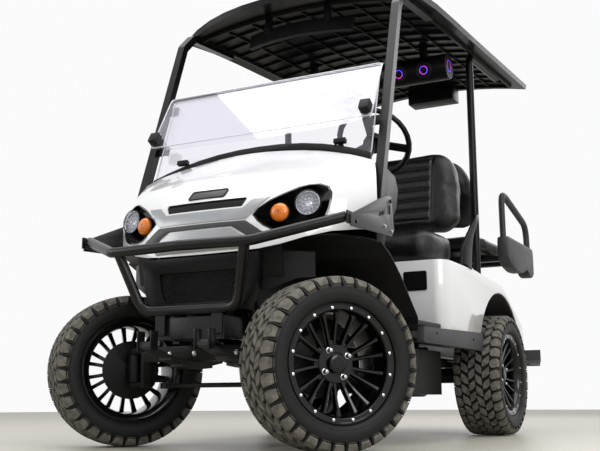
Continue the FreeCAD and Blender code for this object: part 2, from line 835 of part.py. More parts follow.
def dampers(label):
    """Four shock absorbers between the axles and the frame."""
    shapes = []
    for side in (-1, 1):
        shapes.append(damper((side * 175, FRONT_AXLE_Y - 12, D.axle_beam_z + D.axle_beam_size / 2 + 15.2),
                             (side * 165.2, FRONT_AXLE_Y - 60, 600)))
        shapes.append(damper((side * 370, REAR_AXLE_Y + 75.2, WHEEL_Z), (side * 370.2, REAR_AXLE_Y + 75, 600)))
    return node(feature(label, Part.makeCompound(shapes)))


SCREEN_FOOT = (-850.0, 1071.0)
FOLD_LEAN = 29.7


def screen_point(up):
    """The y and z of a point up the leaning windscreen."""
    lean = math.radians(D.screen_lean)
    return SCREEN_FOOT[0] + up * math.sin(lean), SCREEN_FOOT[1] + up * math.cos(lean)


def sill_up(x):
    """How far up the windscreen's plane the crowned edge of the cowl lies."""
    return 106 - 106 * (abs(x) / 520) ** 2.2


SILL_STATIONS = (-505, -440, -370, -290, -200, -100, 0, 100, 200, 290, 370, 440, 505)
SILL_HEIGHT = 24


def strut_inner(z):
    """How far out the inner face of a front strut stands at a height."""
    rise = (z - D.strut_foot_z) / (D.strut_head_z - D.strut_foot_z)
    return D.strut_x - 22 * rise - D.strut_size / 2


def low_frame():
    """The lower pane's own frame: its foot on the cowl, leaned back."""
    return Placement(Vector(0, *SCREEN_FOOT), Rotation(Vector(1, 0, 0), -D.screen_lean))


def high_frame():
    """The folded upper pane's frame: its top edge at the hinge, hanging forward."""
    top = low_frame().multVec(Vector(0, -D.glass_thick - 6.2, D.screen_low_height + 7))
    return Placement(top, Rotation(Vector(1, 0, 0), -FOLD_LEAN))


def windshield_pane(label, corners, x, y, z, lean):
    """A flat clear pane in its own frame, then leaned."""
    body = new_body(label)
    pad(body, f"{label}_pad", sketch(body, f"{label}_outline", "XZ_Plane", corners), D.glass_thick)
    return node(place(body, x, y, z, (1, 0, 0), lean))


def windshield():
    """The lower pane stands on the cowl, the upper one is folded down in front of it."""
    low = D.screen_low_height
    foot = [(x, sill_up(x) + SILL_HEIGHT + D.seat_gap) for x in SILL_STATIONS]
    windshield_pane("windshield_lower", foot + [(500, low), (-500, low)], 0, SCREEN_FOOT[0], SCREEN_FOOT[1],
                    -D.screen_lean)
    top = high_frame().Base
    high = D.screen_high_height
    upper = [(-512, 0), (512, 0), (518, 40 - high), (420, 12 - high), (0, -high), (-420, 12 - high),
             (-518, 40 - high)]
    windshield_pane("windshield_upper", upper, 0, top.y, top.z, Size(-FOLD_LEAN, f"({-FOLD_LEAN})"))


def windshield_fittings(label, cowl):
    """The rubber sill, the fold hinge, the clamps on the struts and the latches on the panes."""
    thick = D.glass_thick
    crest = [Vector(x, 0, sill_up(x) + SILL_HEIGHT) for x in SILL_STATIONS]
    base = [point - Vector(0, 0, SILL_HEIGHT + 3) for point in reversed(crest)]
    sill = Part.Face(Part.makePolygon(crest + base + crest[:1])).translated(Vector(0, -14, 0))
    sill = sill.extrude(Vector(0, 20, 0))
    sill.Placement = low_frame()
    sill = max(sill.cut(cowl).Solids, key=lambda part: part.Volume)
    hinge_z = low_frame().multVec(Vector(0, 0, D.screen_low_height + 14)).z
    reach = strut_inner(hinge_z) - 0.6
    hinge = Part.makeBox(2 * reach, 12, 14, Vector(-reach, -thick - 6, D.screen_low_height + 0.2))
    local = [(hinge, low_frame())]
    for side in (-1, 1):
        latch = Part.makeBox(40, 34, 46, Vector(side * 494 - 20, -thick - 34.2, 48 - D.screen_high_height))
        local.append((latch, high_frame()))
        local.append((Part.makeBox(50, 20, 18, Vector(side * 369 - 25, -thick - 20.2, 90)), low_frame()))
        for up in (170, 380):
            outer = strut_inner(low_frame().multVec(Vector(0, 0, up + 40)).z) - 0.5
            local.append((Part.makeBox(outer - 480, 12, 40, Vector(480 if side > 0 else -outer, 0.2, up)), low_frame()))
    shapes = [sill]
    for shape, frame in local:
        shape.Placement = frame.multiply(shape.Placement)
        shapes.append(shape)
    return node(feature(label, Part.makeCompound(shapes)))


def on_screen_plane(z):
    """The y of the windscreen's plane at a height."""
    return SCREEN_FOOT[0] + (z - SCREEN_FOOT[1]) * math.tan(math.radians(D.screen_lean))


def under_roof(shape, roof_solid):
    """A piece trimmed so that it seats against the underside of the roof."""
    left = shape.cut(roof_solid.translated(Vector(0, 0, -D.seat_gap))).cut(roof_solid)
    return max(left.Solids, key=lambda part: part.Volume)


def roofed_pair(label, shape, roof_solid):
    """A left post and its mirror image, each trimmed to the roof on its own side."""
    other = shape.mirror(Vector(0, 0, 0), Vector(1, 0, 0))
    return feature(label, Part.makeCompound([under_roof(shape, roof_solid), under_roof(other, roof_solid)]))


def front_struts(label, roof_solid):
    """Box-section posts that rise from the cowl brackets and bend back under the roof."""
    foot = (D.strut_x, on_screen_plane(D.strut_foot_z), D.strut_foot_z)
    head = (D.strut_x - 22, on_screen_plane(D.strut_head_z), D.strut_head_z)
    back = (D.strut_x - 26, head[1] + 70, D.roof_front_z - 30)
    rear = (D.strut_x - 26, head[1] + 420, D.roof_front_z + 2)
    run = swept(bent_path([foot, head, back, rear], 30, 2), box_section(D.strut_size, D.strut_size))
    return node(roofed_pair(label, run, roof_solid))


def strut_brackets(label):
    """Flat side plates that join the brush guard, the struts and the body."""
    x = D.strut_x + D.strut_size / 2
    corners = [(-1205, 754), (-1205, 795), (-900, 915), (-836, 925), (-812, 800), (-838, 772), (-880, 770)]
    body = plate(f"{label}_left", "YZ_Plane", corners, x, 6.0)
    slots = [[(-960, 828), (-960, 842), (-915, 856), (-915, 842)], [(-880, 850), (-880, 882), (-850, 886), (-850, 854)]]
    for index, slot in enumerate(slots):
        pocket(body, f"{label}_slot_{index}", sketch(body, f"{label}_slot_outline_{index}", "YZ_Plane", slot, x + 6), 8.0)
    return node(pair(label, body))


def pod_top(y):
    """The height of the pod's top at a place along the cart."""
    if y < 168:
        return float(D.pod_top_z)
    return D.pod_top_z - 30 * (y - 168) / 472


def rear_struts(label, roof_solid):
    """Round posts beside the seat backs that carry the back of the roof."""
    radius = D.rear_strut_size / 2
    top = D.roof_front_z + 46
    foot_z = pod_top(D.rear_strut_y - radius - 12) + 0.8
    path = [(D.rear_strut_x, D.rear_strut_y, foot_z), (D.rear_strut_x, D.rear_strut_y + 6, top - 60),
            (D.rear_strut_x - 30, D.rear_strut_y + 120, top + 14), (D.rear_strut_x - 34, D.rear_strut_y + 640, top + 56)]
    run = swept(bent_path(path, 60, 3), round_section(radius, 10))
    foot = Vector(*path[0]) - Vector(0, 0, 0.5)
    run = run.fuse(swept([foot, foot + Vector(0, 0, 6)], round_section(radius + 12, 10)))
    return node(roofed_pair(label, run, roof_solid))


def roof(label):
    """The moulded roof: crowned across, rising to the back, with a rounded front edge."""
    half = D.roof_half_width
    rows = []
    for share in (0.0, 0.12, 0.35, 0.65, 0.9, 1.0):
        row = []
        for across in (-1.0, -0.92, -0.6, 0.0, 0.6, 0.92, 1.0):
            front = -D.roof_front_y + 150 * abs(across) ** 3
            y = front + (D.roof_rear_y - front) * share
            rise = (y + D.roof_front_y) / (D.roof_front_y + D.roof_rear_y)
            crown = D.roof_crown * (1 - across * across)
            droop = 16 * (1 - share * 8) if share < 0.125 else 0.0
            z = D.roof_front_z + (D.roof_rear_z - D.roof_front_z) * rise + crown - droop
            row.append((half * across, y, z))
        rows.append(row)
    slab = skin(smooth_grid(rows, 12, 8), 0, -D.roof_thick)
    return node(feature(label, slab))


def cowl_rows():
    """The outer face of the nose from the windscreen's edge down to the lower lip, left half."""
    side = float(D.cabin_half_width)
    sill = [(x, *screen_point(sill_up(x))) for x in (0, 130, 265, 390, 475)]
    return [
        sill + [(side - 45, -886, 1062)],
        [(0, -950, 1112), (150, -950, 1106), (300, -943, 1088), (430, -948, 1058), (side - 55, -934, 1022), (side - 19, -922, 990)],
        [(0, -1075, 1030), (165, -1072, 1026), (320, -1062, 1008), (455, -1035, 970), (side - 43, -975, 938), (side - 12, -937, 920)],
        [(0, -1185, 940), (160, -1182, 936), (310, -1165, 922), (448, -1105, 893), (side - 37, -1002, 875), (side - 10, -938, 862)],
        [(0, -1245, 840), (155, -1240, 838), (300, -1208, 833), (440, -1125, 830), (side - 35, -1007, 826), (side - 9, -936, 822)],
        [(0, -1262, 690), (150, -1258, 692), (290, -1228, 706), (425, -1140, 752), (side - 39, -1015, 775), (side - 9, -932, 782)],
    ]


POCKET = [(206, 822), (232, 792), (282, 762), (378, 770), (436, 802), (457, 872), (442, 930), (404, 943), (340, 922),
          (272, 884), (228, 850)]


def smooth_loop(points, count):
    """An even loop of points along a smooth closed curve through a few."""
    curve = Part.BSplineCurve()
    curve.interpolate(Points=[Vector(x, 0, z) for x, z in points], PeriodicFlag=True)
    return [(point.x, point.z) for point in curve.discretize(Number=count + 1)[:-1]]


def inset_loop(loop, distance):
    """The same loop, each point moved a little toward the middle."""
    middle = Vector(sum(x for x, z in loop), 0, sum(z for x, z in loop)) * (1 / len(loop))
    moved = []
    for x, z in loop:
        inward = middle - Vector(x, 0, z)
        moved.append((x + inward.x * distance / inward.Length, z + inward.z * distance / inward.Length))
    return moved


def cowl_net():
    """The outer face of the nose as a net of points whose normals point outward."""
    grid = smooth_grid([across_cart(row) for row in cowl_rows()], 16, 8)
    return [row[::-1] for row in grid]


def front_prism(outline, radius, start=-1500, depth=700):
    """A rounded outline seen from the front, run back through the nose."""
    return rounded_prism([(x, start, z) for x, z in outline], radius, (0, depth, 0))


def front_hole(outline):
    """A plain outline seen from the front, run back through the nose."""
    return facet(*[Vector(x, -1500, z) for x, z in outline]).extrude(Vector(0, 700, 0))


def mirror_outline(outline):
    return [(-x, z) for x, z in reversed(outline)]


def nose_y(net, x, z):
    """The y of the outer face of the nose at a point seen from the front."""
    for a, b, c in net_triangles(net):
        whole = (b.x - a.x) * (c.z - a.z) - (c.x - a.x) * (b.z - a.z)
        if abs(whole) < 1e-6:
            continue
        first = ((x - a.x) * (c.z - a.z) - (c.x - a.x) * (z - a.z)) / whole
        second = ((b.x - a.x) * (z - a.z) - (x - a.x) * (b.z - a.z)) / whole
        if min(first, second, 1 - first - second) > -1e-6:
            return a.y + first * (b.y - a.y) + second * (c.y - a.y)
    raise ValueError(f"The nose has no face at {x}, {z}")


GRILLE = [(-178, 894), (-160, 858), (160, 858), (178, 894)]


def front_cowl(label):
    """The white nose panel, cut for the lamps and the grille."""
    shell = skin(cowl_net(), 0, -D.panel_thick)
    rim_loop = smooth_loop(POCKET, 22)
    for outline in (rim_loop, mirror_outline(rim_loop)):
        shell = shell.cut(front_hole(outline))
    shell = shell.cut(front_prism(GRILLE, 8))
    return node(feature(label, shell))


POCKET_BACK = -1051


def lamp_pockets(label):
    """Deep dark recesses that hold the headlamps and the indicators."""
    wall = 6
    floor = 8
    net = cowl_net()
    outer = smooth_loop(POCKET, 22)
    inner = inset_loop(outer, wall)
    rims = [[Vector(x, nose_y(net, x, z), z) for x, z in loop] for loop in (outer, inner)]
    backs = [[Vector(x, POCKET_BACK + depth, z) for x, z in loop] for loop, depth in ((outer, floor), (inner, 0))]
    faces = [facet(*backs[0]), facet(*backs[1])]
    for index in range(len(outer)):
        following = (index + 1) % len(outer)
        for rim_line, back_line in zip(rims, backs):
            faces.append(facet(rim_line[index], rim_line[following], back_line[following], back_line[index]))
        faces.append(facet(rims[0][index], rims[0][following], rims[1][following]))
        faces.append(facet(rims[0][index], rims[1][following], rims[1][index]))
    return node(solid_pair(label, closed_solid(faces)))


def lamp_can(centre, radius, depth, bulge):
    """A round lamp that faces forward: a can with a domed lens."""
    sides = 24
    turns = [2 * math.pi * index / sides for index in range(sides)]
    rings = []
    for share, ahead in ((1.0, -depth), (1.0, 0.0), (0.86, bulge * 0.55), (0.5, bulge)):
        rings.append([centre + Vector(radius * share * math.cos(t), -ahead, radius * share * math.sin(t)) for t in turns])
    faces = [facet(*rings[0]), facet(*rings[-1])]
    for first, second in zip(rings, rings[1:]):
        for index in range(sides):
            following = (index + 1) % sides
            faces.append(facet(first[index], first[following], second[following], second[index]))
    return closed_solid(faces)


def headlamps(label):
    """Round lamps, a body with a domed lens."""
    centre = Vector(D.headlamp_x, -D.headlamp_y, D.headlamp_z)
    depth = POCKET_BACK - D.seat_gap + D.headlamp_y
    return node(solid_pair(label, lamp_can(centre, D.headlamp_radius, depth, 10)))


def turn_lamps(label):
    centre = Vector(D.turn_lamp_x, -D.turn_lamp_y, D.turn_lamp_z)
    depth = POCKET_BACK - D.seat_gap + D.turn_lamp_y
    return node(solid_pair(label, lamp_can(centre, D.turn_lamp_radius, depth, 12)))


def grille(label):
    """Two dark louvres across the slot, on end cheeks."""
    slab = front_prism(GRILLE, 8, -1300, 200)
    band = skin(cowl_net(), -6, -46)
    frame = slab.common(band)
    for z in (862, 880):
        frame = frame.cut(Part.makeBox(300, 24, 9, Vector(-150, -1260, z)))
    return node(feature(label, frame))


def nose_trim(label):
    """The silver band under the grille that runs out to the lamp pockets, and the lip below the chevron."""
    band_line = [(-204, 826), (-226, 852), (-262, 889), (-202, 886), (-166, 852), (166, 852), (202, 886), (262, 889),
                 (226, 852), (204, 826), (186, 808), (-186, 808)]
    lip_line = [(-212, 726), (-130, 778), (130, 778), (212, 726), (190, 700), (-190, 700)]
    skin_band = skin(cowl_net(), 3, 0)
    shapes = [skin_band.common(front_hole(outline)) for outline in (band_line, lip_line)]
    return node(feature(label, Part.makeCompound(shapes)))


def nose_accent(label):
    """The dark chevron under the grille and the blank badge plate."""
    chevron = [(-278, 738), (-186, 802), (186, 802), (278, 738), (220, 730), (134, 784), (-134, 784), (-220, 730)]
    badge = [(-80, 908), (-72, 936), (80, 936), (72, 908)]
    band = skin(cowl_net(), 4, 0)
    shapes = [band.common(front_hole(outline)) for outline in (chevron, badge)]
    return node(feature(label, Part.makeCompound(shapes)))


def nose_fascia(label):
    """The lower black panel with the recessed mesh, between the front wheels."""
    body = new_body(label)
    outline = [(-248, 684), (248, 684), (232, 560), (192, 486), (-192, 486), (-232, 560)]
    pad(body, f"{label}_pad", sketch(body, f"{label}_outline", "XZ_Plane", outline, 1200.0), 62.0)
    hollow = [(-236, 672), (236, 672), (220, 564), (184, 498), (-184, 498), (-220, 564)]
    pocket(body, f"{label}_back", sketch(body, f"{label}_back_outline", "XZ_Plane", hollow, 1200.0), 40.0, True)
    recess = [(-168, 628), (168, 628), (158, 560), (140, 520), (-140, 520), (-158, 560)]
    pocket(body, f"{label}_recess", sketch(body, f"{label}_recess_outline", "XZ_Plane", recess, 1262.0), 14.0)
    return node(body)


def brush_guard(label):
    """The tube guard: a top bar that sweeps back to the brackets, and a U-shaped loop below it."""
    radius = D.guard_tube_radius
    z = D.guard_bar_z
    side_end = (D.strut_x + D.strut_size / 2 - radius, -1196, 790)
    other_end = (-side_end[0], side_end[1], side_end[2])
    bar_path = [other_end, (-D.guard_corner_x, -D.guard_front_y, z), (0, -D.guard_front_y - 6, z + 4),
                (D.guard_corner_x, -D.guard_front_y, z), side_end]
    loop_path = [(-262, -1380, z - 10), (-200, -1315, 487), (200, -1315, 487), (262, -1380, z - 10)]
    guard = swept(bent_path(bar_path, 60, 3), round_section(radius, 10))
    guard = guard.fuse(swept(bent_path(loop_path, 52, 3), round_section(D.loop_tube_radius, 10)))
    for side in (-1, 1):
        guard = guard.fuse(Part.makeBox(40, 12, 80, Vector(side * 118 - 20, -1322.2, 400)))
        flag = Part.makeBox(6, 60, 44, Vector(side * (D.strut_x + D.strut_size / 2 - 3) - 3, -1222, 762))
        guard = guard.fuse(flag)
    return node(feature(label, guard.removeSplitter()))


LINER = [(-1236, 690), (-1190, 744), (-1080, 756), (-940, 748), (-835, 706), (-735, 640), (-560, 495), (-556, 464)]


def offset_path(path, distance):
    """A path of y and z moved sideways by a distance, positive toward the cabin."""
    moved = []
    for index, (y, z) in enumerate(path):
        before = path[max(index - 1, 0)]
        after = path[min(index + 1, len(path) - 1)]
        first = Vector(y - before[0], z - before[1], 0)
        second = Vector(after[0] - y, after[1] - z, 0)
        first = first.normalize() if first.Length else Vector(second).normalize()
        second = second.normalize() if second.Length else first
        tangent = (first + second).normalize()
        stretch = 1 / max(tangent.dot(first), 0.5)
        moved.append((y - tangent.y * distance * stretch, z + tangent.x * distance * stretch))
    return moved


def front_flares(label):
    """The wheel arch liners: an inner wall and an arch over each front wheel."""
    wall_x = 205
    back_of_fascia = -1199.8
    inner = offset_path(LINER, -6)
    loop = [Vector(wall_x, y, z) for y, z in LINER + inner[::-1]]
    arch = Part.Face(Part.makePolygon(loop + loop[:1])).extrude(Vector(D.cabin_half_width - 3 - wall_x, 0, 0))
    wall_top = [point for point in inner if point[0] > back_of_fascia + 1][:4]
    wall = [(back_of_fascia, 725)] + wall_top + [(-735, 620), (-735, 500), (back_of_fascia, 500)]
    wall_loop = [Vector(wall_x, y, z) for y, z in wall]
    wall_face = Part.Face(Part.makePolygon(wall_loop + wall_loop[:1]))
    liner = arch.fuse(wall_face.extrude(Vector(6, 0, 0))).removeSplitter()
    inside = 7
    plan = [(x - inside * 0.7, y + inside) for x, y, z in cowl_rows()[-1][1:]]
    plan_loop = [Vector(0, plan[0][1], 400)] + [Vector(x, y, 400) for x, y in plan]
    plan_loop += [Vector(D.cabin_half_width, plan[-1][1], 400), Vector(D.cabin_half_width, -400, 400), Vector(0, -400, 400)]
    keep = Part.Face(Part.makePolygon(plan_loop + plan_loop[:1])).extrude(Vector(0, 0, 400))
    return node(solid_pair(label, liner.common(keep)))


def floor_pan(label):
    """The ribbed cabin floor that turns up into a toe board over the arch liners."""
    low = D.rail_z + D.rail_height / 2 + D.seat_gap
    top = low + D.floor_thick
    board = LINER[4:7]
    under = offset_path(board, 0.4)
    over = offset_path(board, 14)
    outline = [(-D.pod_front_y - 0.2, low), (-D.pod_front_y - 0.2, top), (over[-1][0] + 16, top)]
    outline += over[::-1] + under + [(-552, low)]
    body = new_body(label)
    half = D.cabin_half_width - 12
    pad(body, f"{label}_pad", sketch(body, f"{label}_outline", "YZ_Plane", outline, -half), 2 * half)
    return node(body)


def dashboard(label):
    """The dash moulding with its cubbies, bored for the steering column."""
    half = 505
    board = offset_path(LINER[4:7], 14 + D.seat_gap)
    slope = (board[1][1] - board[0][1]) / (board[1][0] - board[0][0])
    kick = [(y, board[0][1] + slope * (y - board[0][0])) for y in (-770, -806)]
    outline = [(-806, 1066), (-690, 1078), (-600, 1060), (-570, 1010), (-592, 930), (-700, 820)] + kick
    body = new_body(f"{label}_block")
    pad(body, f"{label}_pad", sketch(body, f"{label}_outline", "YZ_Plane", outline, -half), 2 * half)
    for tag, low, high in (("left", 30, 180), ("right", -460, -40)):
        cubby = [(low, 950), (high, 950), (high, 1030), (low, 1030)]
        pocket(body, f"{label}_cubby_{tag}", sketch(body, f"{label}_cubby_outline_{tag}", "XZ_Plane", cubby, 560.0),
               130.0, True)
    hub = steering_hub()
    tunnel = DOC.addObject("Part::Cylinder", f"{label}_tunnel")
    bind(tunnel, "Radius", D.column_radius + D.seat_gap)
    bind(tunnel, "Height", 900.0)
    start = hub - steering_axis() * 900
    place(tunnel, start.x, start.y, start.z, (1, 0, 0), -D.steering_lean)
    return node(cut(label, body, tunnel))


def steering_axis():
    """The direction of the column, up toward the driver."""
    lean = math.radians(D.steering_lean)
    return Vector(0, math.sin(lean), math.cos(lean))


def steering_hub():
    return Vector(D.steering_wheel_x, D.steering_wheel_y, D.steering_wheel_z)


def steering_column(label):
    hub = steering_hub()
    axis = steering_axis()
    column = Part.makeCylinder(D.column_radius, 450, hub - axis * 480, axis)
    bore = Part.makeCylinder(11 + D.running_gap, 60, hub - axis * 80, axis)
    return node(feature(label, column.cut(bore)))


def steering_wheel(label):
    """A padded ring, three spokes and a hub on the column's end."""
    hub = steering_hub()
    axis = steering_axis()
    ring = closed_ring(hub, axis, D.steering_wheel_radius, 13, 28, 6)
    boss = swept([hub - axis * 24, hub + axis * 10], round_section(44, 14))
    parts = [boss, Part.makeCylinder(11, 60, hub - axis * 76, axis)]
    down = Vector(0, -math.cos(math.radians(D.steering_lean)), math.sin(math.radians(D.steering_lean)))
    for turn in (0, 110, 250):
        direction = Rotation(axis, turn).multVec(down)
        start = hub - axis * 8
        parts.append(bar(start + direction * 30, start + direction * (D.steering_wheel_radius - 4) + axis * 8, 34, 12,
                         axis.cross(direction)))
    return node(feature(label, ring.fuse(parts).removeSplitter()))


def pedals(label):
    """The wide accelerator and brake pads on arms that stand out of the toe board."""
    board = offset_path(LINER[4:7], 14 + D.seat_gap)
    low, high = Vector(0, *board[2]), Vector(0, *board[1])
    along = (high - low).normalize()
    out = Vector(0, along.z, -along.y)
    shapes = []
    for x, width in ((215, 70), (330, 90)):
        foot = low + along * 150 + Vector(x, 0, 0)
        pad_plate = bar(foot + out * 62 - along * 45, foot + out * 62 + along * 45, width, 12)
        shapes.append(pad_plate.fuse(bar(foot, foot + out * 60, 18, 18)))
    return node(feature(label, Part.makeCompound(shapes)))


ROCKER_FRONT = -545
ROCKER_BACK = 255


def rocker_top(y):
    """The height of the rocker's upper edge, which rises to the back."""
    return D.rocker_front_z + (D.rocker_high_z - D.rocker_front_z) * ((y - ROCKER_FRONT) / (ROCKER_BACK - ROCKER_FRONT))


def rear_body(label):
    """The white seat pod: rounded front corners, sloping rear quarters and open wheel arches."""
    half = D.pod_half_width
    foot = rocker_top(-D.pod_front_y)
    side = [(-D.pod_front_y, foot), (-D.pod_front_y, D.pod_top_z), (168, D.pod_top_z), (640, 735),
            (1010, 560), (1010, D.rocker_high_z), (ROCKER_BACK, D.rocker_high_z)]
    outer = Part.Face(Part.makePolygon([Vector(-half, y, z) for y, z in side + side[:1]])).extrude(Vector(2 * half, 0, 0))
    wall = D.pod_wall
    upright = [edge for edge in outer.Edges
               if abs(edge.CenterOfMass.y + D.pod_front_y) < 1 and edge.BoundBox.ZLength > 100]
    outer = outer.makeFillet(60, upright)
    inside = [(wall - D.pod_front_y, foot - 5), (wall - D.pod_front_y, D.pod_top_z - wall),
              (168, D.pod_top_z - wall), (639, 735 - wall), (1010 - wall, 557), (1010 - wall, foot - 5)]
    hollow = Part.Face(Part.makePolygon([Vector(wall - half, y, z) for y, z in inside + inside[:1]]))
    hollow = hollow.extrude(Vector(2 * (half - wall), 0, 0))
    upright = [edge for edge in hollow.Edges
               if abs(edge.CenterOfMass.y - wall + D.pod_front_y) < 1 and edge.BoundBox.ZLength > 100]
    hollow = hollow.makeFillet(60 - wall, upright)
    pod = outer.cut(hollow)
    arch = Part.makeCylinder(D.arch_radius + 60, 3 * half, Vector(-1.5 * half, REAR_AXLE_Y + 20, WHEEL_Z), Vector(1, 0, 0))
    pod = pod.cut(arch)
    for side in (-1, 1):
        pod = pod.cut(Part.makeBox(44, 44, 400, Vector(side * D.rail_x - 22, 898, 480)))
    return node(feature(label, pod))


def rocker_panels(label):
    """The grey sill under each side of the pod."""
    corners = [(ROCKER_FRONT - 15, D.rocker_low_z + 8), (ROCKER_FRONT, D.rocker_front_z), (ROCKER_BACK, D.rocker_high_z),
               (ROCKER_BACK, D.rocker_low_z), (ROCKER_FRONT, D.rocker_low_z)]
    body = plate(f"{label}_left", "YZ_Plane", corners, D.cabin_half_width - 12, 30)
    return node(pair(label, body))


def cushion(half_width, outline, radius):
    """A soft block: a rounded side outline run across the cart."""
    return rounded_prism([(-half_width, y, z) for y, z in outline], radius, (2 * half_width, 0, 0))


FRONT_BACK = [(95, 925), (190, 925), (262, 1372), (205, 1392), (150, 1340)]
REAR_BACK = [(530, 1030), (595, 1020), (535, 1396), (482, 1420), (446, 1380)]


def seat_bottom(label):
    low = D.pod_top_z + D.seat_gap
    outline = [(-285, low), (-300, 850), (-275, 905), (40, 912), (60, low)]
    return node(feature(label, cushion(D.seat_half_width, outline, 26)))


def seat_back(label):
    return node(feature(label, cushion(D.seat_half_width, FRONT_BACK, 22)))


def rear_seat_bottom(label):
    low = 939 + D.seat_gap
    outline = [(600, low), (590, 1010), (1060, 1016), (1090, 985), (1080, low)]
    return node(feature(label, cushion(D.rear_seat_half_width, outline, 16)))


def rear_seat_back(label):
    return node(feature(label, cushion(D.seat_half_width, REAR_BACK, 16)))


def lean_post(x, face_low, face_high, low_z, high_z, side, width=30):
    """A flat post that stands against a leaning seat back, on one side of it."""
    slope = (face_high[0] - face_low[0]) / (face_high[1] - face_low[1])
    half = width / 2 / math.cos(math.atan(slope)) + D.seat_gap

    def centre(z):
        return Vector(x, face_low[0] + slope * (z - face_low[1]) + side * half, z)

    return bar(centre(low_z), centre(high_z), 40, width)


def rear_seat_frame(label):
    """The steel under and between the seats: legs, side bars, posts for both backs and a seat pan."""
    shapes = []
    low = D.rail_z + D.rail_height / 2
    for side in (-1, 1):
        x = side * D.rail_x
        shapes.append(Part.makeBox(40, 40, 440, Vector(x - 20, 900, low)))
        shapes.append(Part.makeBox(40, 560, 36, Vector(x - 20, 500, 893)))
        shapes.append(Part.makeBox(40, 40, 250, Vector(x - 20, 500, pod_top(500) + D.seat_gap)))
        shapes.append(lean_post(x, REAR_BACK[0], REAR_BACK[4], 900, 1330, -1))
        shapes.append(lean_post(x, FRONT_BACK[1], FRONT_BACK[2], pod_top(200) + 3, 1330, 1))
    reach = D.rear_seat_half_width + D.arm_frame_gap - D.seat_gap
    for y in (824, 1020):
        shapes.append(Part.makeBox(2 * reach, 36, 30, Vector(-reach, y, 899)))
    pan = D.rear_seat_half_width - 38
    shapes.append(Part.makeBox(2 * pan, 420, 10, Vector(-pan, 620, 929)))
    return node(feature(label, shapes[0].fuse(shapes[1:]).removeSplitter()))


def hip_restraints(label):
    """Moulded grab bases beside the front seat, each with a bent arm back to the rear post."""
    low = D.pod_top_z + D.seat_gap
    inner = D.seat_half_width + 3
    width = 40
    base = rounded_prism([(inner, 20, low), (inner, 34, 845), (inner, 104, 882), (inner, 150, 862), (inner, 176, low)],
                         14, (width, 0, 0))
    arm_x = inner + width / 2 + 2
    post_gap = D.rear_strut_size / 2 + 9
    end = (D.rear_strut_x + post_gap * 0.85, D.rear_strut_y - post_gap * 0.53, 1064)
    arm = swept(bent_path([(arm_x, 108, 862), (arm_x + 4, 168, 968), (arm_x + 4, 262, 1036), end], 36, 3),
                round_section(8, 8))
    return node(solid_pair(label, base.fuse(arm).removeSplitter()))


def rear_arm_frames(label):
    """The moulded armrest loops beside the rear seat, each on a scalloped base."""
    inner = D.rear_seat_half_width + D.arm_frame_gap
    side = [(785, 905), (778, 1010), (790, 1258), (840, 1276), (1325, 1178), (1345, 1010), (1345, 872), (1290, 850),
            (1190, 890), (1090, 858), (960, 852), (860, 868)]
    window = [(824, 1034), (830, 1226), (1284, 1138), (1296, 1034)]
    loop = rounded_prism([(inner, y, z) for y, z in side], 14, (D.arm_frame_width, 0, 0))
    hole = rounded_prism([(inner - 10, y, z) for y, z in window], 14, (D.arm_frame_width + 20, 0, 0))
    return node(solid_pair(label, loop.cut(hole)))


def footplate(label):
    """The fold-out step behind the rear seat, with an upturned edge."""
    end = 1477.4
    outline = [(1222, 360), (end - 32, 360), (end, 392), (end, 455), (end - 8, 455), (end - 8, 396), (end - 36, 370),
               (1222, 370)]
    body = new_body(label)
    pad(body, f"{label}_pad", sketch(body, f"{label}_outline", "YZ_Plane", outline, -D.cabin_half_width),
        2 * D.cabin_half_width)
    return node(body)


def battery_block(label):
    block = box(label, 560, 330, 270, -280, -230, D.rail_z + D.rail_height / 2)
    return node(block)


def underfloor_box(label):
    """The closed black box that hangs under the left rail between the wheels."""
    top = D.rail_z - D.rail_height / 2 - D.seat_gap
    depth = 192
    inner = D.rail_x - D.rail_width / 2 + 4
    return node(box(label, 215, 370, depth, inner, -311, top - depth))


def tail_lamps(label):
    lamp = box(f"{label}_left", 70, 24, 60, 460, 1010 + D.seat_gap, 490)
    return node(pair(label, lamp))


def roof_mirror(label, roof_solid):
    """The wide curved mirror that hangs from two clamps under the front of the roof."""
    bow = [Vector(x, -520 + 50 * (x / 260) ** 2, 1790) for x in range(-260, 261, 65)]
    nets = []
    for back in (0, 30):
        nets.append([[point + Vector(0, back, 0) for point in bow], [point + Vector(0, 20 + back, 70) for point in bow]])
    glass = closed_between(*nets)
    for side in (-1, 1):
        glass = glass.fuse(Part.makeBox(26, 26, 130, Vector(side * 150 - 13, -488, 1840)))
    return node(feature(label, under_roof(glass.removeSplitter(), roof_solid)))


def soundbar(label, roof_solid):
    """The speaker tube under the roof behind the front seats."""
    start = Vector(-D.soundbar_half_length, D.soundbar_y, D.soundbar_z)
    shape = Part.makeCylinder(D.soundbar_radius, 2 * D.soundbar_half_length, start, Vector(1, 0, 0))
    for x in (-330, 300):
        shape = shape.fuse(Part.makeBox(30, 40, 170, Vector(x, D.soundbar_y - 20, D.soundbar_z + 40)))
    return node(feature(label, under_roof(shape, roof_solid)))


def rear_roof_box(label, roof_solid):
    shape = Part.makeBox(285, 120, 120, Vector(-90, 1180, 1960))
    return node(feature(label, under_roof(shape, roof_solid)))


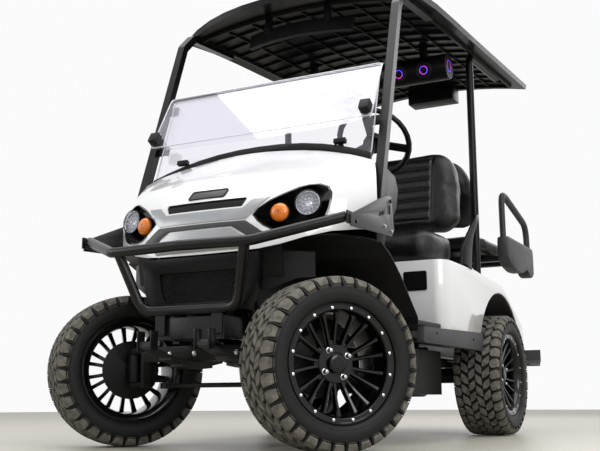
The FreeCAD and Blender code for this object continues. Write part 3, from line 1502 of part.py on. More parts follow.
def build():
    chassis = chassis_frame("chassis_rails")
    NODES.remove(chassis)
    node(fused("chassis_frame", [chassis] + spring_hangers("hanger")))
    front_axle("front_axle")
    rear_axle("rear_axle")
    leaf_springs("leaf_springs")
    dampers("dampers")
    battery_block("battery_block")
    underfloor_box("underfloor_box")
    rubber, alloy = tyre_shape(), rim_shape()
    for side, tag in ((1, "left"), (-1, "right")):
        knuckle(f"knuckle_{tag}", side)
        for front, end in ((True, "front"), (False, "rear")):
            tyre(f"tyre_{end}_{tag}", side, front, rubber)
            rim(f"rim_{end}_{tag}", side, front, alloy)
    tie_rod("tie_rod")
    cowl = front_cowl("front_cowl").Shape
    lamp_pockets("lamp_pockets")
    headlamps("headlamps")
    turn_lamps("turn_lamps")
    grille("grille")
    nose_trim("nose_trim")
    nose_accent("nose_accent")
    nose_fascia("nose_fascia")
    brush_guard("brush_guard")
    front_flares("front_flares")
    windshield()
    windshield_fittings("windshield_fittings", cowl)
    roof_solid = roof("roof").Shape
    front_struts("front_struts", roof_solid)
    strut_brackets("strut_brackets")
    rear_struts("rear_struts", roof_solid)
    roof_mirror("roof_mirror", roof_solid)
    soundbar("soundbar", roof_solid)
    rear_roof_box("rear_roof_box", roof_solid)
    floor_pan("floor_pan")
    dashboard("dashboard")
    steering_column("steering_column")
    steering_wheel("steering_wheel")
    pedals("pedals")
    rear_body("rear_body")
    rocker_panels("rocker_panels")
    seat_bottom("seat_bottom")
    seat_back("seat_back")
    rear_seat_bottom("rear_seat_bottom")
    rear_seat_back("rear_seat_back")
    rear_seat_frame("rear_seat_frame")
    hip_restraints("hip_restraints")
    rear_arm_frames("rear_arm_frames")
    footplate("footplate")
    tail_lamps("tail_lamps")


def check():
    """Names every object that failed, and stops before anything is written."""
    DOC.recompute()
    faults = [item.Label for item in DOC.Objects if "Invalid" in item.State or "Error" in item.State]
    for item in NODES:
        if item.Shape.isNull() or not item.Shape.isValid() or not item.Shape.Solids:
            faults.append(f"{item.Label} has no sound shape")
    if faults:
        sys.exit("Not built: " + ", ".join(faults))


def write_steps():
    os.makedirs("parts", exist_ok=True)
    for item in NODES:
        item.Shape.exportStep(f"parts/{item.Label}.step")
    print(f"{len(NODES)} pieces written")


build()
check()
write_steps()
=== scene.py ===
"""Dresses a lifted four-seat golf cart: finishes, wheels, cushions, lamps, trim, camera and lights."""

from __future__ import annotations

import json
import logging
import math
from dataclasses import dataclass, field
from enum import Enum
from typing import Callable, Sequence

import bmesh
import bpy
from mathutils import Matrix, Quaternion, Vector
from mathutils.bvhtree import BVHTree

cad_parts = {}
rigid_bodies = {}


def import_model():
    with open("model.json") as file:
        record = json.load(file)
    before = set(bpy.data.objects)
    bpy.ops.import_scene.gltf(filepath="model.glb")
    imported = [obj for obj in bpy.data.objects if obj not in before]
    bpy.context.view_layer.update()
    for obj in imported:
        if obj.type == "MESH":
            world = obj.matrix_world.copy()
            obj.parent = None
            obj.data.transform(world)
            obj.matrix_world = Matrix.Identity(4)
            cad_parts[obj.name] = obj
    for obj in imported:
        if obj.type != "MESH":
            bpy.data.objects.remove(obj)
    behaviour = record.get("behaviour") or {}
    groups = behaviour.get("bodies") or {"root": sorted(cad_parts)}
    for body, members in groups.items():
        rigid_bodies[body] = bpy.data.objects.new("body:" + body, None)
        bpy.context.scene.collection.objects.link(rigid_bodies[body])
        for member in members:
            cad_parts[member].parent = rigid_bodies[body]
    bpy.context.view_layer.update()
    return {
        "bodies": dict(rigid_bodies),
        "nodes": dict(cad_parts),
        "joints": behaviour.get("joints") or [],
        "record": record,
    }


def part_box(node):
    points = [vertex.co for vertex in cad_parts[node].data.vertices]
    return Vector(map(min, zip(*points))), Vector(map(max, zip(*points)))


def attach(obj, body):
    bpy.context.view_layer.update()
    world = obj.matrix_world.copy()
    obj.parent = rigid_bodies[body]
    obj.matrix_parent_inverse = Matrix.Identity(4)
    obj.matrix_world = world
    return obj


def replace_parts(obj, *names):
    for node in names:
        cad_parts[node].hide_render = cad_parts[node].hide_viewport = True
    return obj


LOG = logging.getLogger("golf_cart")
Number = float | int
Triple = tuple[float, float, float]
Colour = Triple
Points = tuple[tuple[float, ...], ...]
TURN = 2 * math.pi


# Shader maths


def give(owner: object, **values: object) -> None:
    """Sets properties of a node, a modifier or any other thing."""
    for name, value in values.items():
        setattr(owner, name, value)


class Value:
    """One output socket of a material, which takes part in Python expressions."""

    def __init__(self, graph: "Graph", socket: bpy.types.NodeSocket) -> None:
        """Wraps a socket.

        Args:
            graph: the material the socket belongs to.
            socket: the output socket.
        """
        self.graph = graph
        self.socket = socket

    def also(self, output: str | int) -> "Value":
        """Another output of the same node."""
        return Value(self.graph, self.socket.node.outputs[output])

    def maths(self, operation: str, *others: "Value | Number", swap: bool = False) -> "Value":
        """Adds a Math node.

        Args:
            operation: the node's operation.
            others: the other values.
            swap: puts this value after the other one.

        Returns:
            The node's result.
        """
        values: list[Value | Number] = [self, *others]
        if swap:
            values.reverse()
        return self.graph.node("ShaderNodeMath", {"operation": operation}, dict(enumerate(values)))

    def __add__(self, other: "Value | Number") -> "Value":
        """This plus the other."""
        return self.maths("ADD", other)

    __radd__ = __add__

    def __sub__(self, other: "Value | Number") -> "Value":
        """This less the other."""
        return self.maths("SUBTRACT", other)

    def __rsub__(self, other: "Value | Number") -> "Value":
        """The other less this."""
        return self.maths("SUBTRACT", other, swap=True)

    def __mul__(self, other: "Value | Number") -> "Value":
        """This times the other."""
        return self.maths("MULTIPLY", other)

    def most(self, other: "Value | Number") -> "Value":
        """The larger of the two."""
        return self.maths("MAXIMUM", other)

    def least(self, other: "Value | Number") -> "Value":
        """The smaller of the two."""
        return self.maths("MINIMUM", other)

    def wave(self) -> "Value":
        """The sine of this value."""
        return self.maths("SINE")

    def between(self, low: float, high: float) -> "Value":
        """0 at low and below, 1 at high and above, smooth between.

        Args:
            low: where the step starts.
            high: where it ends.

        Returns:
            The smooth step.
        """
        return self.graph.node(
            "ShaderNodeMapRange",
            {"interpolation_type": "SMOOTHSTEP"},
            {"Value": self, "From Min": low, "From Max": high},
        )


class Graph:
    """The nodes of one material or world."""

    def __init__(self, tree: bpy.types.NodeTree) -> None:
        """Starts from an empty tree."""
        self.tree = tree
        tree.nodes.clear()

    def node(
        self,
        kind: str,
        settings: dict[str, object] | None = None,
        inputs: dict[str | int, object] | None = None,
        output: str | int = 0,
    ) -> Value:
        """Adds a node of any type.

        Args:
            kind: the node's type.
            settings: its own properties, which are set first.
            inputs: numbers, colours or values for its sockets, by name or place.
            output: the socket that is returned.

        Returns:
            The chosen output, or the first input of a node that has none.
        """
        made = self.tree.nodes.new(kind)
        give(made, **(settings or {}))
        for key, value in (inputs or {}).items():
            socket = made.inputs[key]
            if isinstance(value, Value):
                self.tree.links.new(value.socket, socket)
            elif socket.type == "RGBA":
                socket.default_value = (*value, 1.0)
            else:
                socket.default_value = value
        return Value(self, made.outputs[output] if len(made.outputs) else made.inputs[0])

    def place(self) -> Value:
        """The point on the piece at rest, in metres."""
        return self.node("ShaderNodeTexCoord", output="Object")

    def noise(self, scale: float, detail: float = 2.0, rough: float = 0.5) -> Value:
        """Soft noise.

        Args:
            scale: its cells for each metre.
            detail: its octaves.
            rough: how strong the fine octaves are.

        Returns:
            A number near 0.5.
        """
        values = {"Vector": self.place(), "Scale": scale, "Detail": detail, "Roughness": rough}
        return self.node("ShaderNodeTexNoise", None, values)

    def cells(self, scale: float, feature: str = "F1") -> Value:
        """The distance inside the cells of a Voronoi pattern.

        Args:
            scale: its cells for each metre.
            feature: which distance is read.

        Returns:
            The distance.
        """
        values = {"Vector": self.place(), "Scale": scale}
        return self.node("ShaderNodeTexVoronoi", {"feature": feature}, values)

    def blend(self, share: Value, low: Colour | Value, high: Colour | Value) -> Value:
        """A colour between two.

        Args:
            share: 0 for the first and 1 for the second.
            low: the first colour.
            high: the second colour.

        Returns:
            The mixed colour.
        """
        return self.node("ShaderNodeMix", {"data_type": "RGBA"}, {"Factor": share, 6: low, 7: high}, 2)

    def film(self, share: Value, tint: Colour, shell: Value) -> Value:
        """A shader that covers a share of a see-through one.

        Args:
            share: how much of it shows.
            tint: the see-through one's colour.
            shell: the shader on top.

        Returns:
            The mixed shader.
        """
        through = self.node("ShaderNodeBsdfTransparent", None, {"Color": tint})
        return self.node("ShaderNodeMixShader", None, {0: share.least(1.0), 1: through, 2: shell})

    def bump(self, height: Value, distance: float, strength: float = 1.0) -> Value:
        """A bumped normal.

        Args:
            height: the surface's height.
            distance: what a height of 1 is, in metres.
            strength: how much of it shows.

        Returns:
            The normal.
        """
        return self.node(
            "ShaderNodeBump", None, {"Height": height, "Distance": distance, "Strength": strength}, "Normal"
        )


# Finishes


@dataclass(frozen=True)
class Finish:
    """What every finish has: a name, a colour, how rough it is and how strongly it reflects."""

    name: str
    colour: Colour
    rough: float = 0.5
    shine: float = 0.5

    def material(self) -> bpy.types.Material:
        """The finish as a material, made once."""
        name = f"finish_{self.name}"
        known = bpy.data.materials.get(name)
        if known is not None:
            return known
        made = bpy.data.materials.new(name)
        made.use_nodes = True
        made.diffuse_color = (*self.colour, 1.0)
        graph = Graph(made.node_tree)
        graph.node("ShaderNodeOutputMaterial", None, {"Surface": self.surface(graph)})
        return made

    def surface(self, graph: Graph) -> Value:
        """The finish's surface: its shader, unless the kind of finish mixes more than one."""
        return self.shader(graph, self.sockets(graph))

    def sockets(self, graph: Graph) -> dict[str, object]:
        """What the kind of finish gives its shader's sockets."""
        return {}

    def shader(self, graph: Graph, sockets: dict[str, object]) -> Value:
        """The main shader with this finish's colour and roughness unless others are given.

        Args:
            graph: the material's nodes.
            sockets: values for its sockets.

        Returns:
            The shader's output.
        """
        plain = {"Base Color": self.colour, "Roughness": self.rough, "Specular IOR Level": self.shine}
        return graph.node("ShaderNodeBsdfPrincipled", None, {**plain, **sockets})

    def toned(self, factor: float, lift: float = 0.0) -> Colour:
        """The finish's colour, made darker or lighter."""
        return tuple(min(1.0, part * factor + lift) for part in self.colour)


@dataclass(frozen=True)
class GlossPaint(Finish):
    """Sprayed paint under a clear coat, with the faintest orange peel."""

    coat: float = 1.0
    peel: float = 0.00003

    def sockets(self, graph: Graph) -> dict[str, object]:
        """Colour that varies a little, a fine peel in the coat and a film of dust."""
        haze = graph.noise(3.0, 3.0)
        dust = graph.noise(26.0, 4.0, 0.6).between(0.45, 0.8)
        return {
            "Base Color": graph.blend(haze, self.toned(0.955), self.colour),
            "Roughness": self.rough + dust * 0.06,
            "Coat Weight": self.coat,
            "Coat Roughness": 0.04,
            "Normal": graph.bump(graph.noise(420.0, 1.0), self.peel),
        }


@dataclass(frozen=True)
class Metallic(Finish):
    """Painted or bare metal with fine flake or brushing."""

    metal: float = 0.9
    grain: float = 900.0

    def sockets(self, graph: Graph) -> dict[str, object]:
        """Sparkle in the roughness, a slow change of tone and a thin clear coat."""
        flake = graph.cells(self.grain)
        return {
            "Base Color": graph.blend(graph.noise(9.0, 3.0), self.toned(0.86), self.colour),
            "Metallic": self.metal,
            "Roughness": self.rough + (flake - 0.4) * 0.12,
            "Coat Weight": 0.25,
            "Coat Roughness": 0.12,
            "Normal": graph.bump(flake, 0.00002),
        }


@dataclass(frozen=True)
class Moulded(Finish):
    """Textured plastic with a pebbled grain and a little wear."""

    grain: float = 900.0
    depth: float = 0.00008
    dust: float = 0.35

    def sockets(self, graph: Graph) -> dict[str, object]:
        """Grain in the bump, and dust and scuffs in colour and roughness."""
        pebble = graph.cells(self.grain, "SMOOTH_F1")
        scuff = graph.noise(38.0, 6.0, 0.65).between(0.52, 0.75)
        cloud = graph.noise(4.5, 4.0).between(0.3, 0.75)
        lighter = self.toned(1.35, 0.008)
        tone = graph.blend(cloud * self.dust, self.colour, lighter)
        return {
            "Base Color": graph.blend(scuff * self.dust, tone, lighter),
            "Roughness": self.rough + scuff * 0.1 - cloud * 0.05,
            "Normal": graph.bump(pebble, self.depth),
        }


@dataclass(frozen=True)
class PowderCoat(Finish):
    """Powder coated steel: a soft sheen over a fine leathery peel."""

    peel: float = 520.0

    def sockets(self, graph: Graph) -> dict[str, object]:
        """Peel in the bump and small changes in sheen."""
        grain = graph.noise(self.peel, 2.0, 0.6)
        wear = graph.noise(21.0, 5.0, 0.6).between(0.5, 0.78)
        return {
            "Base Color": graph.blend(wear, self.colour, self.toned(1.25, 0.006)),
            "Roughness": self.rough + (grain - 0.5) * 0.12 + wear * 0.05,
            "Normal": graph.bump(grain, 0.00018),
        }


@dataclass(frozen=True)
class CastPaint(Finish):
    """Painted castings and axle tubes, with road film in patches."""

    film: Colour = (0.12, 0.115, 0.1)

    def sockets(self, graph: Graph) -> dict[str, object]:
        """Coarse bump and a dusty film."""
        patch = graph.noise(17.0, 6.0, 0.6).between(0.5, 0.8)
        return {
            "Base Color": graph.blend(patch * 0.55, self.colour, self.film),
            "Roughness": self.rough + patch * 0.2,
            "Normal": graph.bump(graph.noise(160.0, 5.0, 0.65), 0.0006),
        }


@dataclass(frozen=True)
class Rubber(Finish):
    """Tyre rubber, dusty on the tread or dark on the sidewall."""

    dust_colour: Colour = (0.2, 0.18, 0.14)
    dust: float = 0.1

    def sockets(self, graph: Graph) -> dict[str, object]:
        """Dust that lies in patches, fine sipes and scuffing."""
        patch = graph.noise(46.0, 6.0, 0.65)
        fine = graph.noise(700.0, 3.0, 0.7)
        share = (patch * 0.9 + fine * 0.35 - 0.28).between(0.1, 0.62) * self.dust
        return {
            "Base Color": graph.blend(share, self.colour, self.dust_colour),
            "Roughness": self.rough + share * 0.25,
            "Normal": graph.bump(fine * 0.6 + patch, 0.0004),
        }


@dataclass(frozen=True)
class Vinyl(Finish):
    """Seat vinyl with a leather grain."""

    def sockets(self, graph: Graph) -> dict[str, object]:
        """Small creased cells in the bump and softer light in the creases."""
        warp = graph.noise(90.0, 3.0)
        cells = graph.cells(620.0, "DISTANCE_TO_EDGE").between(0.0, 0.24)
        coarse = graph.noise(210.0, 3.0, 0.6)
        worn = graph.noise(7.0, 4.0).between(0.4, 0.75)
        return {
            "Base Color": graph.blend(worn * 0.6, self.colour, self.toned(1.5)),
            "Roughness": self.rough - cells * 0.08 + (warp - 0.5) * 0.1,
            "Normal": graph.bump(cells * 0.7 + coarse, 0.00022),
            "Coat Weight": 0.05,
            "Coat Roughness": 0.3,
        }


@dataclass(frozen=True)
class ClearSheet(Finish):
    """A clear pane: mostly see-through, with a reflection that grows at grazing angles."""

    tint: Colour = (0.975, 0.972, 0.988)

    def surface(self, graph: Graph) -> Value:
        """A tinted see-through shader under a mirror film."""
        graze = graph.node("ShaderNodeFresnel", None, {"IOR": 1.4})
        smear = graph.noise(5.0, 4.0, 0.6).between(0.35, 0.8) * 0.02
        return graph.film(graze * 0.3 + smear + 0.03, self.tint, self.shader(graph, {"Metallic": 1.0}))


@dataclass(frozen=True)
class Lens(Finish):
    """A moulded lamp lens with prisms on its inside."""

    prism: float = 240.0
    see_through: float = 0.6

    def surface(self, graph: Graph) -> Value:
        """Clear or coloured plastic whose prisms bend the light."""
        prisms = graph.bump(graph.cells(self.prism, "SMOOTH_F1"), 0.0016, 0.9)
        shell = self.shader(graph, {"Coat Weight": 0.6, "Coat Roughness": 0.03, "Normal": prisms})
        graze = graph.node("ShaderNodeFresnel", None, {"IOR": 1.3})
        return graph.film(graze + (1.0 - self.see_through), self.colour, shell)


@dataclass(frozen=True)
class Glow(Finish):
    """A lit ring whose colour changes round it."""

    second: Colour = (1.0, 0.1, 0.2)
    strength: float = 3.0

    def sockets(self, graph: Graph) -> dict[str, object]:
        """Two colours of light in turn along the ring."""
        x = graph.node("ShaderNodeSeparateXYZ", None, {0: graph.place()})
        share = (x.also(2) * 95.0 + x * 60.0).wave() * 0.5 + 0.5
        light = graph.blend(share, self.colour, self.second)
        return {"Emission Color": light, "Emission Strength": self.strength}


@dataclass(frozen=True)
class Mirror(Finish):
    """Silvered glass."""

    def sockets(self, graph: Graph) -> dict[str, object]:
        """Full metal with a trace of dust."""
        dust = graph.noise(60.0, 5.0, 0.7).between(0.55, 0.8)
        return {"Metallic": 1.0, "Roughness": self.rough + dust * 0.12}


@dataclass(frozen=True)
class StudioFloor(Finish):
    """A pale sealed floor."""

    def sockets(self, graph: Graph) -> dict[str, object]:
        """Faint clouds and a soft sheen."""
        cloud = graph.noise(0.9, 4.0, 0.6)
        return {
            "Base Color": graph.blend(cloud, self.toned(0.93), self.colour),
            "Roughness": self.rough + cloud * 0.1,
        }


class Skin(Enum):
    """Every finish on the cart, by the name of its part of the record where it has one."""

    WHITE_PAINT = GlossPaint("white_paint", (0.80, 0.805, 0.815), 0.28)
    SILVER_TRIM = Metallic("silver_trim", (0.34, 0.345, 0.355), 0.34, metal=0.6)
    DARK_PLASTIC = Moulded("dark_plastic", (0.0022, 0.0022, 0.0025), 0.44, 0.16)
    GREY_PLASTIC = Moulded("grey_plastic", (0.034, 0.034, 0.037), 0.50, 0.3)
    BLACK_STEEL = PowderCoat("black_steel", (0.003, 0.003, 0.0034), 0.3, 0.3)
    GREY_STEEL = PowderCoat("grey_steel", (0.036, 0.036, 0.039), 0.40, 0.4)
    AXLE_STEEL = CastPaint("axle_steel", (0.0035, 0.0035, 0.0038), 0.42, 0.22, film=(0.012, 0.0115, 0.011))
    SPRING_STEEL = CastPaint("spring_steel", (0.016, 0.016, 0.017), 0.42, 0.35, film=(0.03, 0.029, 0.027))
    GLOSS_BLACK = GlossPaint("gloss_black", (0.0012, 0.0012, 0.0014), 0.2, 0.22, coat=0.35, peel=0.00002)
    POCKET_BLACK = GlossPaint("pocket_black", (0.0016, 0.0016, 0.0018), 0.16, 0.4, coat=0.7, peel=0.00002)
    ROOF_BLACK = GlossPaint("roof_black", (0.0028, 0.0028, 0.0031), 0.42, 0.16, coat=0.06, peel=0.00004)
    CHEVRON_GREY = Moulded("chevron_grey", (0.040, 0.041, 0.044), 0.42, 0.35)
    TYRE_RUBBER = Rubber("tyre_rubber", (0.0055, 0.0055, 0.006), 0.52, 0.24, (0.07, 0.066, 0.058), 0.1)
    TREAD_RUBBER = Rubber("tread_rubber", (0.065, 0.061, 0.054), 0.78, 0.25, (0.25, 0.236, 0.205), 0.9)
    BLACK_RUBBER = Moulded("black_rubber", (0.0035, 0.0035, 0.0039), 0.5, 0.2, dust=0.2)
    CLEAR_SCREEN = ClearSheet("clear_screen", (0.93, 0.92, 0.97), 0.03)
    LAMP_LENS = Lens("lamp_lens", (0.95, 0.96, 1.0), 0.05, prism=120.0, see_through=0.97)
    AMBER_LENS = Lens("amber_lens", (0.95, 0.24, 0.004), 0.10, prism=200.0, see_through=0.15)
    RED_LENS = Lens("red_lens", (0.55, 0.01, 0.01), 0.12, see_through=0.25)
    MIRROR_GLASS = Mirror("mirror_glass", (0.72, 0.73, 0.75), 0.04)
    SEAT_VINYL = Vinyl("seat_vinyl", (0.0042, 0.0042, 0.005), 0.34, 0.34)
    CHROME = Mirror("chrome", (0.8, 0.8, 0.82), 0.14)
    ZINC = Metallic("zinc", (0.55, 0.55, 0.56), 0.3, metal=1.0)
    PANE_EDGE = Lens("pane_edge", (0.93, 0.92, 0.97), 0.15, prism=60.0, see_through=0.3)
    GLOW_BLUE = Glow("glow_blue", (0.06, 0.05, 0.9), 0.4, second=(0.7, 0.02, 0.30), strength=1.6)
    LED_CELL = Metallic("led_cell", (0.92, 0.93, 0.95), 0.2, metal=0.3)
    LAMP_BOWL = Metallic("lamp_bowl", (0.50, 0.51, 0.53), 0.3, metal=0.5)
    BADGE_BLACK = Moulded("badge_black", (0.008, 0.008, 0.009), 0.6, 0.15, grain=1500.0)
    FLOOR = StudioFloor("floor", (0.50, 0.478, 0.41), 0.34, 0.22)

    @property
    def look(self) -> bpy.types.Material:
        """The finish's material."""
        return self.value.material()

    @classmethod
    def of_slot(cls, slot: str) -> "Skin":
        """The finish that goes with one of the record's slots."""
        return cls[slot.upper()]


# Shapes


def turns(count: int, shift: float = 0.0) -> list[float]:
    """The angles of a full turn in equal steps, the first one shifted by a share of a step."""
    return [TURN * (step + shift) / count for step in range(count)]


def polar(along: float, radius: float, turn: float) -> Vector:
    """A point at a radius and an angle about the X axis."""
    return Vector((along, radius * math.cos(turn), radius * math.sin(turn)))


def circle(steps: int, along: float, radius: float) -> list[Vector]:
    """A ring of points about the X axis."""
    return [polar(along, radius, turn) for turn in turns(steps)]


def placed(name: str, data: bpy.types.ID) -> bpy.types.Object:
    """An object with this mesh, lamp or camera, in the scene."""
    made = bpy.data.objects.new(name, data)
    bpy.context.scene.collection.objects.link(made)
    return made


class Form:
    """A mesh in the making: points, faces and the finish of each face."""

    def __init__(self, finishes: Sequence[Skin]) -> None:
        """Starts an empty form with the finishes that its faces may have."""
        self.finishes = list(finishes)
        self.points: list[Vector] = []
        self.faces: list[tuple[int, ...]] = []
        self.looks: list[int] = []

    def add(
        self,
        points: Sequence[Vector],
        faces: Sequence[Sequence[int]],
        look: int = 0,
        where: Matrix | None = None,
    ) -> None:
        """Adds points and faces.

        Args:
            points: the new points.
            faces: their faces, numbered from the first new point.
            look: the place of their finish in the list.
            where: moves the points first.
        """
        base = len(self.points)
        self.points += [where @ Vector(point) if where else Vector(point) for point in points]
        self.faces += [tuple(base + index for index in face) for face in faces]
        self.looks += [look] * len(faces)

    def rings(
        self,
        rings: Sequence[Sequence[Vector]],
        look: int = 0,
        closed: bool = False,
        capped: bool = True,
        where: Matrix | None = None,
    ) -> None:
        """Joins rings of points, each with the same count, into a skin.

        Args:
            rings: the rings in order.
            look: the place of the finish.
            closed: joins the last ring to the first.
            capped: closes the two ends of an open run.
            where: moves the points first.
        """
        count = len(rings[0])
        points = [point for ring in rings for point in ring]
        faces = []
        for index in range(len(rings) if closed else len(rings) - 1):
            near, far = index * count, (index + 1) % len(rings) * count
            for step in range(count):
                after = (step + 1) % count
                faces.append((near + step, near + after, far + after, far + step))
        if capped and not closed:
            faces.append(tuple(range(count))[::-1])
            faces.append(tuple(range((len(rings) - 1) * count, len(rings) * count)))
        self.add(points, faces, look, where)

    def turn(
        self, profile: Sequence[tuple[float, float]], steps: int, look: int = 0, closed: bool = False,
        where: Matrix | None = None, capped: bool = True,
    ) -> None:
        """Turns a profile of (along, radius) about the local X axis.

        Args:
            profile: its points.
            steps: the sides of a full turn.
            look: the place of the finish.
            closed: joins the profile's ends.
            where: moves the points first.
            capped: closes the two ends of an open profile.
        """
        rings = [circle(steps, along, radius) for along, radius in profile]
        self.rings(rings, look, closed, capped, where)

    def tube(
        self, path: Sequence[Vector], radius: float, sides: int, closed: bool = False,
        width: float | None = None,
    ) -> None:
        """Sweeps a round or oval section along a path.

        Args:
            path: the points it follows.
            radius: half the section's height.
            sides: the section's sides.
            closed: joins the path's ends.
            width: half the section's width, where it isn't round.
        """
        points = [Vector(point) for point in path]
        count = len(points)
        rings = []
        side = None
        for index, point in enumerate(points):
            before = points[index - 1] if index or closed else point
            after = points[(index + 1) % count] if index + 1 < count or closed else point
            along = (after - before).normalized()
            if side is None:
                side = along.orthogonal().normalized()
            side = (side - along * side.dot(along)).normalized()
            up = along.cross(side)
            rings.append([
                point + side * math.cos(turn) * (width or radius) + up * math.sin(turn) * radius
                for turn in turns(sides)
            ])
        self.rings(rings, closed=closed)

    def bolt(self, where: Matrix, radius: float, height: float, look: int = 0, sides: int = 6) -> None:
        """A fastener's head on its washer, which stands along local X.

        Args:
            where: its place.
            radius: its radius.
            height: how far it stands out.
            look: the place of the finish.
            sides: 6 for a hexagon, more for a round head.
        """
        washer = [(0.0, radius * 1.25), (height * 0.25, radius * 1.25), (height * 0.25, radius)]
        head = [(height * 0.8, radius), (height, radius * 0.62), (height * 1.02, radius * 0.2)]
        self.turn(washer + head, sides, look, where=where)

    def mesh(self, name: str) -> bpy.types.Mesh:
        """The form as a mesh without finishes."""
        made = bpy.data.meshes.new(name)
        made.from_pydata([tuple(point) for point in self.points], [], self.faces)
        return made

    def piece(self, name: str, body: str, sharp: float, slot: str | None = None) -> bpy.types.Object:
        """Makes the form an object that rides on a body.

        Args:
            name: the piece's name.
            body: the body that it rides on.
            sharp: the angle from which an edge stays sharp, in degrees.
            slot: the name of a record slot; not used.

        Returns:
            The object.
        """
        mesh = self.mesh(name)
        for finish in self.finishes:
            mesh.materials.append(finish.look)
        mesh.polygons.foreach_set("material_index", self.looks)
        shape = bmesh.new()
        shape.from_mesh(mesh)
        bmesh.ops.recalc_face_normals(shape, faces=shape.faces)
        shape.to_mesh(mesh)
        shape.free()
        mesh.shade_smooth()
        mesh.set_sharp_from_angle(angle=math.radians(sharp))
        made = placed(name, mesh)
        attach(made, body)
        LOG.info("%s: %d faces on %s", name, len(mesh.polygons), body)
        return made


def axes(place: Sequence[float], out: Vector, up: Vector = Vector((0, 0, 1))) -> Matrix:
    """A place whose local X points out and whose local Z is as near up as it can be.

    Args:
        place: the origin.
        out: the direction of local X.
        up: the direction that local Z leans to.

    Returns:
        The matrix.
    """
    first = Vector(out).normalized()
    third = (up - first * up.dot(first)).normalized()
    second = third.cross(first)
    turn = Matrix((first, second, third)).transposed()
    return Matrix.Translation(Vector(place)) @ turn.to_4x4()


def spread(points: Sequence[Sequence[float]], bend: float, steps: int) -> list[Vector]:
    """A path with its corners rounded.

    Args:
        points: the path's corners.
        bend: the length of run that each corner takes.
        steps: the points in each corner.

    Returns:
        The smooth path.
    """
    path = [Vector(point) for point in points]
    made = [path[0]]
    for before, corner, after in zip(path, path[1:], path[2:]):
        back, ahead = before - corner, after - corner
        first = corner + back.normalized() * min(bend, back.length * 0.45)
        last = corner + ahead.normalized() * min(bend, ahead.length * 0.45)
        for step in range(steps + 1):
            share = step / steps
            made.append((1 - share) ** 2 * first + 2 * share * (1 - share) * corner + share**2 * last)
    made.append(path[-1])
    return made


def loop_of(points: Sequence[Sequence[float]], bend: float, steps: int) -> list[Vector]:
    """A closed path with its corners rounded."""
    return spread([*points, *points[:2]], bend, steps)[1:-1]


def middle_of(points: Sequence[Vector]) -> Vector:
    """The mean of some points."""
    return sum(points, Vector()) / len(points)


class Touch:
    """Finds points on the surface of a CAD node."""

    def __init__(self, node: bpy.types.Object) -> None:
        """Reads the node's mesh."""
        mesh = node.data
        points = [vertex.co.copy() for vertex in mesh.vertices]
        self.tree = BVHTree.FromPolygons(points, [tuple(face.vertices) for face in mesh.polygons])

    def hit(self, start: Sequence[float], way: Sequence[float]) -> tuple[Vector, Vector] | None:
        """The first point along a line and the surface's normal there, against the line.

        Args:
            start: where the line starts.
            way: its direction.

        Returns:
            The point and normal, or None.
        """
        direction = Vector(way).normalized()
        point, normal, _, _ = self.tree.ray_cast(Vector(start), direction)
        if point is None:
            return None
        return point, (normal if normal.dot(direction) < 0 else -normal)


# CAD nodes


class Edge(Enum):
    """How a CAD node's edges are eased: the width of a bevel in metres, or none."""

    NONE = 0.0
    FINE = 0.0007
    SOFT = 0.0015
    ROUND = 0.003


